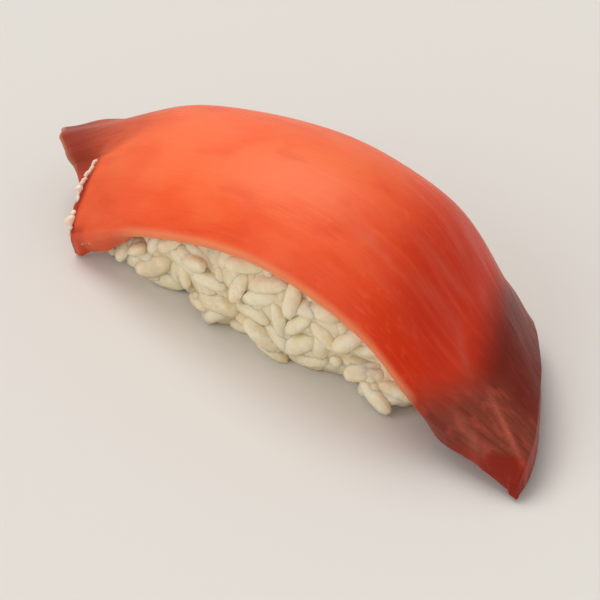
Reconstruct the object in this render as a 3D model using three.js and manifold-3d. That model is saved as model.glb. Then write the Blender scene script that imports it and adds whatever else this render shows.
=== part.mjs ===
// Tuna nigiri: a bed of pressed rice with one slice of raw tuna draped over it.
//
// Millimetres, +Z up. +X runs along the piece to the pointed tip of the slice, and
// -Y is the side where the rice shows. The bed and the slice are drawn in one drawing
// frame, and the group at the end stands them centred on the origin, base on z = 0.

import * as THREE from "three";
import { mergeVertices } from "three/addons/utils/BufferGeometryUtils.js";
import Module from "manifold-3d";

const wasm = await Module();
wasm.setup();

// ---- Driving dimensions ----

// The bare bed of rice: a rounded block, boxier at its foot, cut flat where it stands.
const BED = {
  half: new THREE.Vector3(25, 10.9, 10),
  middle: new THREE.Vector3(1.2, -0.7, 6.1),
  endSquareness: 2.5, // 2 gives round ends, more gives boxy ones
  footSquareness: 5,
  footFrom: 0.02, // how steeply down from the middle the foot starts, as a sine
  footTo: 0.34,
  sideSquareness: 3,
  around: 36,
  rings: 22,
};

// A cooked grain of short rice, and how the grains lie on the bed.
const GRAIN = {
  length: 6.6,
  width: 2.9,
  thickness: 2.4,
  sizeSpread: 0.12,
  lift: [-0.4, 0.4], // from the bed's surface to a grain's middle
  tilt: 0.25, // radians out of the surface, either way
  spacing: 2.5,
  lowest: -0.9, // the lift of a grain that has to clear the slice
  shortest: 0.62, // its length, of a full grain's
  tries: 9000,
  around: 5,
  rings: 4,
};

// The slice's upper face is lofted across three rails. Each has one point at the left
// end, the left shoulder, the crest, the right shoulder, the fall and the right end.
const RAILS = {
  front: [
    [-24.2, -12.3, 2.6],
    [-12.4, -13.0, 9.9],
    [4.3, -13.3, 15.1],
    [19.7, -13.1, 12.7],
    [29.8, -12.7, 6.0],
    [42.8, -12.3, 3.4],
  ],
  ridge: [
    [-29.4, -5.6, 9.6],
    [-16.2, -1.1, 17.3],
    [2.2, 0.2, 21.9],
    [18.4, 0.2, 20.0],
    [29.2, -0.4, 11.2],
    [37.6, -1.3, 5.2],
  ],
  back: [
    [-35.6, -1.2, 7.3],
    [-19.6, 9.0, 9.4],
    [-1.1, 12.4, 11.6],
    [13.4, 12.7, 11.0],
    [22.2, 11.6, 6.5],
    [27.6, 10.2, 3.9],
  ],
};

// The section bends this far from the ridge to either edge: most over the bed.
const BEND = {
  body: THREE.MathUtils.degToRad(74),
  end: THREE.MathUtils.degToRad(30),
  leftEnds: 0.2, // of the slice's length
  rightStarts: 0.72,
};

const SLICE = {
  thickest: 7, // before it meets the bed
  edge: 2.8, // along the front and back edges
  end: 3.2, // at the cut ends
  tail: 1.6, // at the back corner of the left end
  dropsFrom: 0.72, // of its length: from here to the tip the cut walls turn upright
  dropsTo: 0.9,
  columns: 46,
  rows: 24,
};

const GAP = 0.3; // between the bare bed and the slice
const FLOOR_GAP = 0.2; // under the slice's drooping tip
const SEED = 20;

// ---- Closed meshes and solids ----

/** Give the triangles of a grid of points, (columns + 1) by (rows + 1). */
function gridTriangles(columns, rows, first, flip) {
  const triangles = [];
  for (let i = 0; i < columns; i++)
    for (let j = 0; j < rows; j++) {
      const a = first + i * (rows + 1) + j;
      const b = a + rows + 1;
      const quad = flip ? [a, a + 1, b + 1, a, b + 1, b] : [a, b + 1, a + 1, a, b, b + 1];
      triangles.push(...quad);
    }
  return triangles;
}

/** Give the border of a grid of points as one closed walk, seen from above anticlockwise. */
function gridBorder(columns, rows) {
  const at = (i, j) => i * (rows + 1) + j;
  const walk = [];
  for (let i = 0; i < columns; i++) walk.push(at(i, 0));
  for (let j = 0; j < rows; j++) walk.push(at(columns, j));
  for (let i = columns; i > 0; i--) walk.push(at(i, rows));
  for (let j = rows; j > 0; j--) walk.push(at(0, j));
  return walk;
}

/** Join an upper and a lower grid of points by a rim into one closed geometry. */
function closedSheet(upper, lower, columns, rows) {
  const count = upper.length;
  const triangles = [
    ...gridTriangles(columns, rows, 0, false),
    ...gridTriangles(columns, rows, count, true),
  ];
  const border = gridBorder(columns, rows);
  border.forEach((here, k) => {
    const next = border[(k + 1) % border.length];
    triangles.push(here, here + count, next + count, here, next + count, next);
  });
  const geometry = new THREE.BufferGeometry().setFromPoints([...upper, ...lower]);
  return geometry.setIndex(triangles);
}

/** Make a solid of a closed geometry. */
function solidOf(geometry) {
  const bare = geometry.clone();
  bare.deleteAttribute("normal");
  bare.deleteAttribute("uv");
  const merged = mergeVertices(bare, 1e-4);
  const mesh = new wasm.Mesh({
    numProp: 3,
    vertProperties: merged.attributes.position.array,
    triVerts: new Uint32Array(merged.index.array),
  });
  return new wasm.Manifold(mesh);
}

/** Make a geometry of a solid. */
function geometryOf(solid) {
  const mesh = solid.getMesh();
  const geometry = new THREE.BufferGeometry();
  geometry.setAttribute("position", new THREE.BufferAttribute(mesh.vertProperties, 3));
  geometry.setIndex(new THREE.BufferAttribute(mesh.triVerts, 1));
  return geometry;
}

// ---- The bare bed of rice ----

/** Give the squareness of the ends in a direction from the bed's middle, in half sizes. */
function endPower(share) {
  const steepness = -share.z / Math.max(share.length(), 1e-9);
  const foot = THREE.MathUtils.smoothstep(steepness, BED.footFrom, BED.footTo);
  return THREE.MathUtils.lerp(BED.endSquareness, BED.footSquareness, foot);
}

/** Say how far out a point lies: under 1 is inside the bed, grown by a margin. */
function bedLevel(point, margin) {
  const half = BED.half.clone().addScalar(margin);
  const share = point.clone().sub(BED.middle).divide(half);
  const sides = Math.abs(share.y) ** BED.sideSquareness + Math.abs(share.z) ** BED.sideSquareness;
  const power = endPower(share);
  return Math.abs(share.x) ** power + sides ** (power / BED.sideSquareness);
}

/** Give the point of the bed's surface in a direction from its middle. */
function bedPoint(direction) {
  const spot = direction.clone().multiply(BED.half);
  const level = bedLevel(spot.clone().add(BED.middle), 0);
  return spot.multiplyScalar(level ** (-1 / endPower(direction))).add(BED.middle);
}

/** Give the outward normal of the bed's surface at a point. */
function bedNormal(point) {
  const step = 0.01;
  const slope = new THREE.Vector3();
  for (const axis of ["x", "y", "z"]) {
    const ahead = point.clone();
    const behind = point.clone();
    ahead[axis] += step;
    behind[axis] -= step;
    slope[axis] = bedLevel(ahead, 0) - bedLevel(behind, 0);
  }
  return slope.normalize();
}

/** Make the bed as a closed geometry, its poles at the two ends. */
function bedGeometry() {
  const geometry = new THREE.SphereGeometry(1, BED.around, BED.rings);
  geometry.rotateZ(-Math.PI / 2);
  const spots = geometry.attributes.position;
  const spot = new THREE.Vector3();
  for (let i = 0; i < spots.count; i++) {
    const placed = bedPoint(spot.fromBufferAttribute(spots, i));
    spots.setXYZ(i, placed.x, placed.y, placed.z);
  }
  return geometry;
}

// ---- The slice of tuna ----

const railCurves = {};
for (const [name, points] of Object.entries(RAILS)) {
  const spots = points.map((point) => new THREE.Vector3(...point));
  railCurves[name] = new THREE.CatmullRomCurve3(spots, false, "catmullrom", 0.5);
}

/** Give the angle that the section bends through, from the ridge to either edge. */
function sectionBend(along) {
  const fromLeft = THREE.MathUtils.smoothstep(along, 0, BEND.leftEnds);
  const toRight = 1 - THREE.MathUtils.smoothstep(along, BEND.rightStarts, 1);
  return THREE.MathUtils.lerp(BEND.end, BEND.body, fromLeft * toRight);
}

/** Give a point of the slice's upper face: along 0 to 1, across -1 at the front edge. */
function skinPoint(along, across) {
  const front = railCurves.front.getPoint(along);
  const ridge = railCurves.ridge.getPoint(along);
  const back = railCurves.back.getPoint(along);
  const bend = sectionBend(along);
  const angle = across * bend;
  const reach = Math.sin(angle) / Math.sin(bend);
  const drop = (1 - Math.cos(angle)) / (1 - Math.cos(bend));
  const spot = ridge.clone();
  spot.addScaledVector(back.clone().sub(front), reach / 2);
  const sag = back.clone().add(front).multiplyScalar(0.5).sub(ridge);
  spot.addScaledVector(sag, reach * reach);
  spot.z = ridge.z - drop * (ridge.z - (across < 0 ? front.z : back.z));
  return spot;
}

/** Give the upper face's outward normal. */
function skinNormal(along, across) {
  const step = 0.004;
  const before = Math.max(along - step, 0);
  const after = Math.min(along + step, 1);
  const lengthwise = skinPoint(after, across).sub(skinPoint(before, across));
  const crosswise = skinPoint(along, across + step).sub(skinPoint(along, across - step));
  return lengthwise.cross(crosswise).normalize();
}

/** Give the way in from the upper face: square to it, and straight down near the tip. */
function wayIn(along, across) {
  const turned = THREE.MathUtils.smoothstep(along, SLICE.dropsFrom, SLICE.dropsTo);
  return skinNormal(along, across).negate().lerp(new THREE.Vector3(0, 0, -1), turned).normalize();
}

/** Give the slice's thickness where it lies free, thinner towards both ends. */
function freeThickness(along, across) {
  const middle = Math.sqrt(Math.max(1 - across * across, 0));
  const body = SLICE.edge + (SLICE.thickest - SLICE.edge) * middle;
  const toTip = Math.max(2 * along - 1, 0) ** 5;
  const toTail = Math.max(1 - 2 * along, 0) ** 3;
  const backCorner = THREE.MathUtils.smoothstep(across, -0.5, 0.4);
  const tail = THREE.MathUtils.lerp(SLICE.end, SLICE.tail, backCorner);
  return body + (SLICE.end - body) * toTip + (tail - body) * toTail;
}

/** Give how deep the slice is under a point of its upper face before it meets the bed. */
function sliceDepth(skin, inward, wanted, gap) {
  const steps = 26;
  const probe = new THREE.Vector3();
  const inside = (depth) => bedLevel(probe.copy(skin).addScaledVector(inward, depth), gap) < 1;
  for (let k = 1; k <= steps; k++) {
    if (!inside((wanted * k) / steps)) continue;
    let clear = (wanted * (k - 1)) / steps;
    let met = (wanted * k) / steps;
    for (let halving = 0; halving < 12; halving++) {
      const middle = (clear + met) / 2;
      if (inside(middle)) met = middle;
      else clear = middle;
    }
    return clear;
  }
  return wanted;
}

/** Make the slice as a closed geometry, its underside a gap clear of the bare bed. */
function sliceGeometry(gap, spareThickness, spareWidth) {
  const upper = [];
  const lower = [];
  for (let i = 0; i <= SLICE.columns; i++)
    for (let j = 0; j <= SLICE.rows; j++) {
      const along = i / SLICE.columns;
      const across = (2 * j) / SLICE.rows - 1;
      const skin = skinPoint(along, across * (1 + spareWidth));
      const inward = wayIn(along, across);
      const wanted = freeThickness(along, across) + spareThickness;
      const depth = sliceDepth(skin, inward, wanted, gap);
      const under = skin.clone().addScaledVector(inward, depth);
      under.z = Math.max(under.z, FLOOR_GAP);
      upper.push(skin);
      lower.push(under);
    }
  return closedSheet(upper, lower, SLICE.columns, SLICE.rows);
}

// ---- The grains that show ----

/** Give a seeded source of even random numbers from 0 to 1. */
function randomSource(seed) {
  let state = seed;
  return () => {
    state = (state + 0x6d2b79f5) | 0;
    let t = Math.imul(state ^ (state >>> 15), 1 | state);
    t = (t + Math.imul(t ^ (t >>> 7), 61 | t)) ^ t;
    return ((t ^ (t >>> 14)) >>> 0) / 4294967296;
  };
}

/** Make one grain as a solid, lying on the bed at a spot with a heading and a lift. */
function grainSolid(spot, outward, heading, tilt, lift, size, stretch) {
  const geometry = new THREE.SphereGeometry(0.5, GRAIN.around, GRAIN.rings);
  geometry.rotateZ(-Math.PI / 2);
  geometry.scale(GRAIN.length * size * stretch, GRAIN.width * size, GRAIN.thickness * size);
  const level = new THREE.Quaternion().setFromUnitVectors(new THREE.Vector3(0, 0, 1), outward);
  const turn = new THREE.Quaternion().setFromEuler(new THREE.Euler(0, tilt, heading, "ZYX"));
  geometry.applyQuaternion(level.multiply(turn));
  const middle = spot.clone().addScaledVector(outward, lift);
  geometry.translate(middle.x, middle.y, middle.z);
  return solidOf(geometry);
}

/** Lay grains evenly over the bare bed, clear of a keep-out solid. */
function layGrains(keepOut) {
  const random = randomSource(SEED);
  const spread = (low, high) => low + (high - low) * random();
  const spots = [];
  const grains = [];
  for (let k = 0; k < GRAIN.tries; k++) {
    const direction = new THREE.Vector3(spread(-1, 1), spread(-1, 1), spread(-1, 1));
    const spot = bedPoint(direction.normalize());
    const heading = spread(0, Math.PI);
    const tilt = spread(-GRAIN.tilt, GRAIN.tilt);
    const lift = spread(...GRAIN.lift);
    const size = spread(1 - GRAIN.sizeSpread, 1 + GRAIN.sizeSpread);
    const crowded = spots.some((other) => other.distanceTo(spot) < GRAIN.spacing);
    if (crowded || spot.z < 0) continue;
    const outward = bedNormal(spot);
    const ways = [
      [lift, tilt, 1],
      [GRAIN.lowest, 0, 1],
      [GRAIN.lowest, 0, GRAIN.shortest],
    ];
    for (const [rise, lean, stretch] of ways) {
      const grain = grainSolid(spot, outward, heading, lean, rise, size, stretch);
      if (!keepOut.intersect(grain).isEmpty()) continue;
      spots.push(spot);
      grains.push(grain);
      break;
    }
  }
  return grains;
}

/** Fuse the grains on the bed, cut all flat on the floor and fill what is sealed in. */
function riceSolid(bed, grains) {
  const room = new THREE.BoxGeometry(120, 120, 60).translate(0, 0, 30);
  let fused = bed;
  for (const grain of grains) fused = fused.add(grain);
  const bodies = fused.intersect(solidOf(room)).decompose();
  return bodies.reduce((largest, body) => (body.volume() > largest.volume() ? body : largest));
}

// ---- Materials and assembly ----

const riceMaterial = new THREE.MeshStandardMaterial({
  color: 0xd9c8a4,
  roughness: 0.45,
  metalness: 0,
});

const tunaMaterial = new THREE.MeshStandardMaterial({
  color: 0xe2512b,
  roughness: 0.32,
  metalness: 0,
});

/** Make a named mesh. */
function part(name, geometry, material) {
  const mesh = new THREE.Mesh(geometry, material);
  mesh.name = name;
  return mesh;
}

const keepOut = solidOf(sliceGeometry(0, GAP, 0.04));
const rice = riceSolid(solidOf(bedGeometry()), layGrains(keepOut));

const group = new THREE.Group();
group.add(part("rice", geometryOf(rice), riceMaterial));
group.add(part("tuna", sliceGeometry(GAP, 0, 0), tunaMaterial));

const box = new THREE.Box3().setFromObject(group);
const centre = box.getCenter(new THREE.Vector3());
group.position.set(-centre.x, -centre.y, -box.min.z);

export default group;
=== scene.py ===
"""Looks of a tuna nigiri: a bed of pressed rice with one slice of raw tuna draped over it.

Sizes are in millimetres until a mesh is written, and in metres from there on.  The bed and
the slice are drawn in one drawing frame: +X runs along the piece to the slice's pointed
tip, -Y is the side where the rice shows, and the base stands on z = 0.  A place on the
slice is given by along, 0 to 1 from the left end to the tip, and across, -1 at the front
edge to 1 at the back edge.  A Span is a soft border: where it starts and where it is full.
"""

from __future__ import annotations

import logging
import math
from dataclasses import dataclass, field
from enum import Enum, IntEnum

import bpy
import numpy as np
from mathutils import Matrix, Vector

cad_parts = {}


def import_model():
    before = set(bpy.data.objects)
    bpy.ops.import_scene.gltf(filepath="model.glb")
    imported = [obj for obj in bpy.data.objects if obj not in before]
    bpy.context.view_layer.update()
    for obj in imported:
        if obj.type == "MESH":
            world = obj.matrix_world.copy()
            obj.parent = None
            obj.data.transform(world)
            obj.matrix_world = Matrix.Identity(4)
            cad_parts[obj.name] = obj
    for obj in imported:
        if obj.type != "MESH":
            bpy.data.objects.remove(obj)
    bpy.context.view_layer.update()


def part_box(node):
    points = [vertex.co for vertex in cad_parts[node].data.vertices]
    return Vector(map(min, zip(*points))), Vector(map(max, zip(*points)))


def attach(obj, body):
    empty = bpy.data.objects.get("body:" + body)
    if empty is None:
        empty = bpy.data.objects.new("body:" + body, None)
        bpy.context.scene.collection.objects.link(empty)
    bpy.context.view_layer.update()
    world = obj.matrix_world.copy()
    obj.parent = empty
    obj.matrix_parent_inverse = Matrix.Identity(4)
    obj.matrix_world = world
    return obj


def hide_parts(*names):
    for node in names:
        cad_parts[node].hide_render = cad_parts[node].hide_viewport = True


LOG = logging.getLogger("nigiri")
MM = 0.001
TINY = 1e-9
IMAGE_WIDTH = 600.0

Colour = tuple[float, float, float]
Place = tuple[float, float, float]
Span = tuple[float, float]
Line = tuple[tuple[float, float], ...]
Socket = bpy.types.NodeSocket
Source = bpy.types.NodeSocket | float | Colour
Values = dict[str, np.ndarray]


# ---- Numbers and noise ----

# The noise hashes the numbers of a lattice cell: these spread its bits and give a fraction.
HASH_SEED_STEP, HASH_OFFSET = 7919, 17
HASH_FACTOR = np.uint64(0x9E3779B97F4A7C15)
HASH_FOLD, HASH_DROPPED_BITS = np.uint64(31), np.uint64(11)
HASH_RANGE = 2.0**53


class Seed(IntEnum):
    """The random numbers that each unevenness reads."""

    FLESH_SWELL = 3
    SINEW_WAVER = 5
    SINEW_BREAKS = 8
    SINEW_WIDTH = 9
    MUSCLE_BUNDLES = 11
    LEDGE_WOBBLE = 17
    ZONE_BORDERS = 21
    TIP_RIDGES = 27
    CUT_EDGE = 31
    LIP_JAGS = 41
    THREAD_WIDTH = 43
    CORNER_LIP = 44
    CORE_BUMPS = 61
    CORE_KNOBS = 62


def smooth(low: float, high: float, value: np.ndarray) -> np.ndarray:
    """Ease from 0 at low to 1 at high: 3t^2 - 2t^3 of the clamped share t.

    Args:
        low: The value that gives 0.
        high: The value that gives 1.
        value: Where to ask.

    Returns:
        The eased share at each value.
    """
    share = np.clip((value - low) / (high - low), 0.0, 1.0)
    return share * share * (3.0 - 2.0 * share)


def bell(value: np.ndarray, middle: float | np.ndarray, width: float | np.ndarray) -> np.ndarray:
    """Give a bell curve: e to the minus square of the distance from the middle in widths."""
    return np.exp(-(((value - middle) / width) ** 2))


def noise(points: np.ndarray, seed: int) -> np.ndarray:
    """Give smooth noise from -1 to 1 in any number of dimensions.

    Each corner of the unit cell round a point has a hashed random number, and the numbers
    are blended by the eased place 3w^2 - 2w^3 of the point in its cell.

    Args:
        points: Points in the last axis, one lattice cell to a unit.
        seed: Picks the random numbers.

    Returns:
        The noise at each point.
    """
    base = np.floor(points).astype(np.int64)
    part = points - base
    weight = part * part * (3.0 - 2.0 * part)
    total = np.zeros(points.shape[:-1])
    for corner in np.ndindex(*(2,) * points.shape[-1]):
        cell = (base + np.array(corner)).astype(np.uint64)
        key = np.full(total.shape, seed * HASH_SEED_STEP + HASH_OFFSET, np.uint64)
        share = np.ones(total.shape)
        for axis, side in enumerate(corner):
            key = (key ^ cell[..., axis]) * HASH_FACTOR
            key = key ^ (key >> HASH_FOLD)
            share = share * (weight[..., axis] if side else 1.0 - weight[..., axis])
        total += share * ((key >> HASH_DROPPED_BITS) / HASH_RANGE * 2.0 - 1.0)
    return total


def noise_at(seed: int, *axes: float | np.ndarray) -> np.ndarray:
    """Give smooth noise at points that are given axis by axis."""
    return noise(np.stack(np.broadcast_arrays(*axes), -1), seed)


def octaves(points: np.ndarray, seed: int, count: int) -> np.ndarray:
    """Add up noise of doubling fineness and halving height.

    Args:
        points: Points in the last axis, one coarse cell to a unit.
        seed: Picks the random numbers.
        count: How many layers are added.

    Returns:
        The summed noise, from about -1 to 1.
    """
    total = np.zeros(points.shape[:-1])
    for layer in range(count):
        total += noise(points * 2.0**layer, seed + layer) / 2.0**layer
    return total / (2.0 - 2.0 ** (1 - count))


def unit(vectors: np.ndarray) -> np.ndarray:
    """Scale each vector in the last axis to length 1."""
    return vectors / np.maximum(np.linalg.norm(vectors, axis=-1, keepdims=True), TINY)


def follow(line: Line, at: np.ndarray) -> np.ndarray:
    """Read a bent line of (place, value) points, straight from point to point.

    Args:
        line: The points, in the order of their places.
        at: The places to ask at.

    Returns:
        The values there.
    """
    places, values = np.array(line).T
    return np.interp(at, places, values)


def crowded(count: int, low: float, high: float, crowd: float) -> np.ndarray:
    """Give grid lines from low to high, closer to each other near both ends.

    Args:
        count: How many spaces.
        low: The first line.
        high: The last line.
        crowd: 0 for even spaces, near 1 for very narrow ones at the ends.

    Returns:
        The lines: t - crowd sin(2 pi t) / 2 pi, stretched from low to high.
    """
    share = np.linspace(0.0, 1.0, count + 1)
    share = share - crowd * np.sin(2 * np.pi * share) / (2 * np.pi)
    return low + (high - low) * share


def cross_grid(along: np.ndarray, across: np.ndarray) -> tuple[np.ndarray, np.ndarray]:
    """Cross two lists of places: both at each point of a grid, along on its first axis."""
    grid = np.meshgrid(along, across, indexing="ij")
    return grid[0], grid[1]


# ---- Meshes ----


@dataclass
class Shell:
    """A closed surface as arrays: points in millimetres, faces, and values at the points."""

    points: np.ndarray
    quads: np.ndarray
    triangles: np.ndarray = field(default_factory=lambda: np.zeros((0, 3), int))
    values: Values = field(default_factory=dict)

    def piece(self, name: str, shift: np.ndarray, material: bpy.types.Material) -> bpy.types.Object:
        """Write the shell as a smooth mesh object that sits at the origin.

        Args:
            name: The piece's name.
            shift: From the drawing frame to the row frame, in millimetres.
            material: The finish.

        Returns:
            The new object.
        """
        mesh = bpy.data.meshes.new(name)
        mesh.vertices.add(len(self.points))
        placed = (self.points + shift) * MM
        mesh.vertices.foreach_set("co", placed.astype(np.float32).ravel())
        corners = np.concatenate([self.quads.ravel(), self.triangles.ravel()])
        mesh.loops.add(len(corners))
        mesh.loops.foreach_set("vertex_index", corners.astype(np.int32))
        four, three = len(self.quads), len(self.triangles)
        starts = np.concatenate([np.arange(four) * 4, 4 * four + np.arange(three) * 3])
        mesh.polygons.add(len(starts))
        mesh.polygons.foreach_set("loop_start", starts.astype(np.int32))
        mesh.polygons.foreach_set("use_smooth", np.ones(len(starts), bool))
        for value_name, values in self.values.items():
            kind, slot = ("FLOAT", "value") if values.ndim == 1 else ("FLOAT_VECTOR", "vector")
            made = mesh.attributes.new(value_name, kind, "POINT")
            made.data.foreach_set(slot, values.astype(np.float32).ravel())
        mesh.update(calc_edges=True)
        mesh.materials.append(material)
        piece = bpy.data.objects.new(name, mesh)
        bpy.context.scene.collection.objects.link(piece)
        LOG.info("%s: %d points, %d faces", name, len(self.points), len(starts))
        return piece


def grid_quads(index: np.ndarray) -> np.ndarray:
    """Give the quads of a grid of point numbers, facing along first axis x second axis."""
    corners = [index[:-1, :-1], index[1:, :-1], index[1:, 1:], index[:-1, 1:]]
    return np.stack(corners, axis=-1).reshape(-1, 4)


def closed_tube(rings: np.ndarray, first: np.ndarray, last: np.ndarray) -> Shell:
    """Skin rings of points into a closed shell with a tip at each end.

    Args:
        rings: Points by ring and by place on the ring, turning so that the faces look out.
        first: The tip before the first ring.
        last: The tip after the last ring.

    Returns:
        The shell: the rings' points in order, then the two tips.
    """
    count, around = rings.shape[:2]
    index = np.arange(count * around).reshape(count, around)
    index = np.concatenate([index, index[:, :1]], axis=1)
    tips = np.full(around, count * around)
    start = np.stack([tips, index[0, 1:], index[0, :-1]], -1)
    stop = np.stack([tips + 1, index[-1, :-1], index[-1, 1:]], -1)
    points = np.concatenate([rings.reshape(-1, 3), [first], [last]])
    return Shell(points, grid_quads(index)[:, ::-1], np.concatenate([start, stop]))


@dataclass
class Room:
    """A lattice of small cells that marks where a solid is: its pitch, low corner and counts."""

    pitch: float = 0.25
    low: Place = (-40.0, -20.0, -2.0)
    counts: tuple[int, int, int] = (360, 160, 110)
    marks: np.ndarray = field(init=False)

    def __post_init__(self) -> None:
        """Start with nothing marked."""
        self.marks = np.zeros(self.counts, bool)

    def cells(self, points: np.ndarray) -> tuple[np.ndarray, ...]:
        """Give the cells of points, held inside the lattice, as one index for each axis."""
        cell = np.floor((points - np.array(self.low)) / self.pitch).astype(int)
        return tuple(np.moveaxis(np.clip(cell, 0, np.array(self.counts) - 1), -1, 0))

    def mark(self, points: np.ndarray) -> None:
        """Mark the cells that the points lie in."""
        self.marks[self.cells(points)] = True

    def holds(self, points: np.ndarray) -> np.ndarray:
        """Say which points lie in marked cells."""
        return self.marks[self.cells(points)]


# ---- Node materials ----

# A colour mix's sockets go by number, because the node's other kinds have the same names.
MIX_SHARE, MIX_FIRST, MIX_SECOND, MIX_RESULT = 0, 6, 7, 2


class Sum(Enum):
    """What a sum does with its terms."""

    ADD = "ADD"
    SUBTRACT = "SUBTRACT"
    MULTIPLY = "MULTIPLY"
    MULTIPLY_ADD = "MULTIPLY_ADD"


class Change(Enum):
    """How a ramp goes from its start to its end."""

    EASED = "SMOOTHSTEP"
    STRAIGHT = "LINEAR"


@dataclass(frozen=True)
class Ramp:
    """A change from start at low to end at high."""

    low: float
    high: float
    start: float = 0.0
    end: float = 1.0
    change: Change = Change.EASED


@dataclass(frozen=True)
class Cloud:
    """A noise: its scale, its finer layers and their strength, its stir and its stretch."""

    scale: float
    detail: float = 2.0
    roughness: float = 0.5
    stir: float = 0.0
    stretch: float = 1.0


@dataclass(frozen=True)
class Bump:
    """A bump: how high 1 is, in metres, and the share of it that shows."""

    distance: float
    strength: float


class NodeBench:
    """Lays out nodes in a tree and links them."""

    def __init__(self, tree: bpy.types.NodeTree) -> None:
        """Work on a tree."""
        self.tree = tree

    def node(self, kind: str) -> bpy.types.Node:
        """Add a node of a kind, such as Math for ShaderNodeMath."""
        return self.tree.nodes.new("ShaderNode" + kind)

    def feed(self, socket: Socket, source: Source) -> None:
        """Link a socket into another, or set a plain number or colour on it.

        Args:
            socket: The input.
            source: A socket, a number, or a colour or vector of three numbers.
        """
        if isinstance(source, Socket):
            self.tree.links.new(source, socket)
        elif isinstance(source, tuple) and socket.type == "RGBA":
            socket.default_value = (*source, 1.0)
        else:
            socket.default_value = source

    def held(self, name: str) -> bpy.types.NodeOutputs:
        """Read what the mesh holds at its points.

        Args:
            name: The name of those values.

        Returns:
            The outputs, with a number as Fac and a vector as Vector.
        """
        node = self.node("Attribute")
        node.attribute_name = name
        return node.outputs

    def value(self, name: str) -> Socket:
        """Read a number that the mesh holds at its points."""
        return self.held(name)["Fac"]

    def vector(self, name: str) -> Socket:
        """Read a vector that the mesh holds at its points."""
        return self.held(name)["Vector"]

    def place(self) -> Socket:
        """Read the object coordinates, in metres."""
        return self.node("TexCoord").outputs["Object"]

    def clouded(self, vector: Socket, cloud: Cloud) -> Socket:
        """Give noise from 0 to 1.

        Args:
            vector: Where the noise is read.
            cloud: The noise.

        Returns:
            The noise as a socket.
        """
        if cloud.stretch != 1.0:
            mapping = self.node("Mapping")
            self.feed(mapping.inputs["Vector"], vector)
            self.feed(mapping.inputs["Scale"], (cloud.stretch, 1.0, 1.0))
            vector = mapping.outputs["Vector"]
        node = self.node("TexNoise")
        for name, term in (
            ("Vector", vector),
            ("Scale", cloud.scale),
            ("Detail", cloud.detail),
            ("Roughness", cloud.roughness),
            ("Distortion", cloud.stir),
        ):
            self.feed(node.inputs[name], term)
        return node.outputs["Fac"]

    def sum(self, operation: Sum, *terms: Source) -> Socket:
        """Work out one sum of two or three terms.

        Args:
            operation: What it does with them.
            terms: Sockets or numbers, in their order.

        Returns:
            The result as a socket.
        """
        node = self.node("Math")
        node.operation = operation.value
        for socket, term in zip(node.inputs, terms):
            self.feed(socket, term)
        return node.outputs["Value"]

    def product(self, first: Source, second: Source) -> Socket:
        """Multiply two terms."""
        return self.sum(Sum.MULTIPLY, first, second)

    def ramped(self, source: Source, ramp: Ramp) -> Socket:
        """Read a number through a ramp.

        Args:
            source: The number.
            ramp: The change that it goes through.

        Returns:
            The changed number as a socket.
        """
        node = self.node("MapRange")
        node.interpolation_type = ramp.change.value
        for name, term in (
            ("Value", source),
            ("From Min", ramp.low),
            ("From Max", ramp.high),
            ("To Min", ramp.start),
            ("To Max", ramp.end),
        ):
            self.feed(node.inputs[name], term)
        return node.outputs["Result"]

    def mixed(self, share: Source, first: Source, second: Source) -> Socket:
        """Mix two colours.

        Args:
            share: 0 for the first colour, 1 for the second.
            first: A colour or a socket.
            second: A colour or a socket.

        Returns:
            The colour as a socket.
        """
        node = self.node("Mix")
        node.data_type = "RGBA"
        for number, term in ((MIX_SHARE, share), (MIX_FIRST, first), (MIX_SECOND, second)):
            self.feed(node.inputs[number], term)
        return node.outputs[MIX_RESULT]

    def bumped(self, height: Socket, bump: Bump, under: Socket | None = None) -> Socket:
        """Tilt the surface by a height.

        Args:
            height: From 0 to 1.
            bump: How strong it is.
            under: Another bump that this one lies on.

        Returns:
            The normal as a socket.
        """
        node = self.node("Bump")
        self.feed(node.inputs["Strength"], bump.strength)
        self.feed(node.inputs["Distance"], bump.distance)
        self.feed(node.inputs["Height"], height)
        if under is not None:
            self.feed(node.inputs["Normal"], under)
        return node.outputs["Normal"]


class SurfaceBench(NodeBench):
    """Lays out one material's nodes round its Principled shader."""

    def __init__(self, name: str) -> None:
        """Start an empty material with its output and its shader.

        Args:
            name: The material's name.
        """
        self.material = bpy.data.materials.new(name)
        self.material.use_nodes = True
        super().__init__(self.material.node_tree)
        self.tree.nodes.clear()
        output = self.node("OutputMaterial")
        self.shader = self.node("BsdfPrincipled")
        self.feed(output.inputs["Surface"], self.shader.outputs["BSDF"])

    def shade(self, **terms: Source) -> bpy.types.Material:
        """Set or link the shader's sockets.

        Args:
            terms: The sockets' names, with _ for a space, and what each gets.

        Returns:
            The finished material.
        """
        for name, term in terms.items():
            self.feed(self.shader.inputs[name.replace("_", " ")], term)
        return self.material


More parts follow.
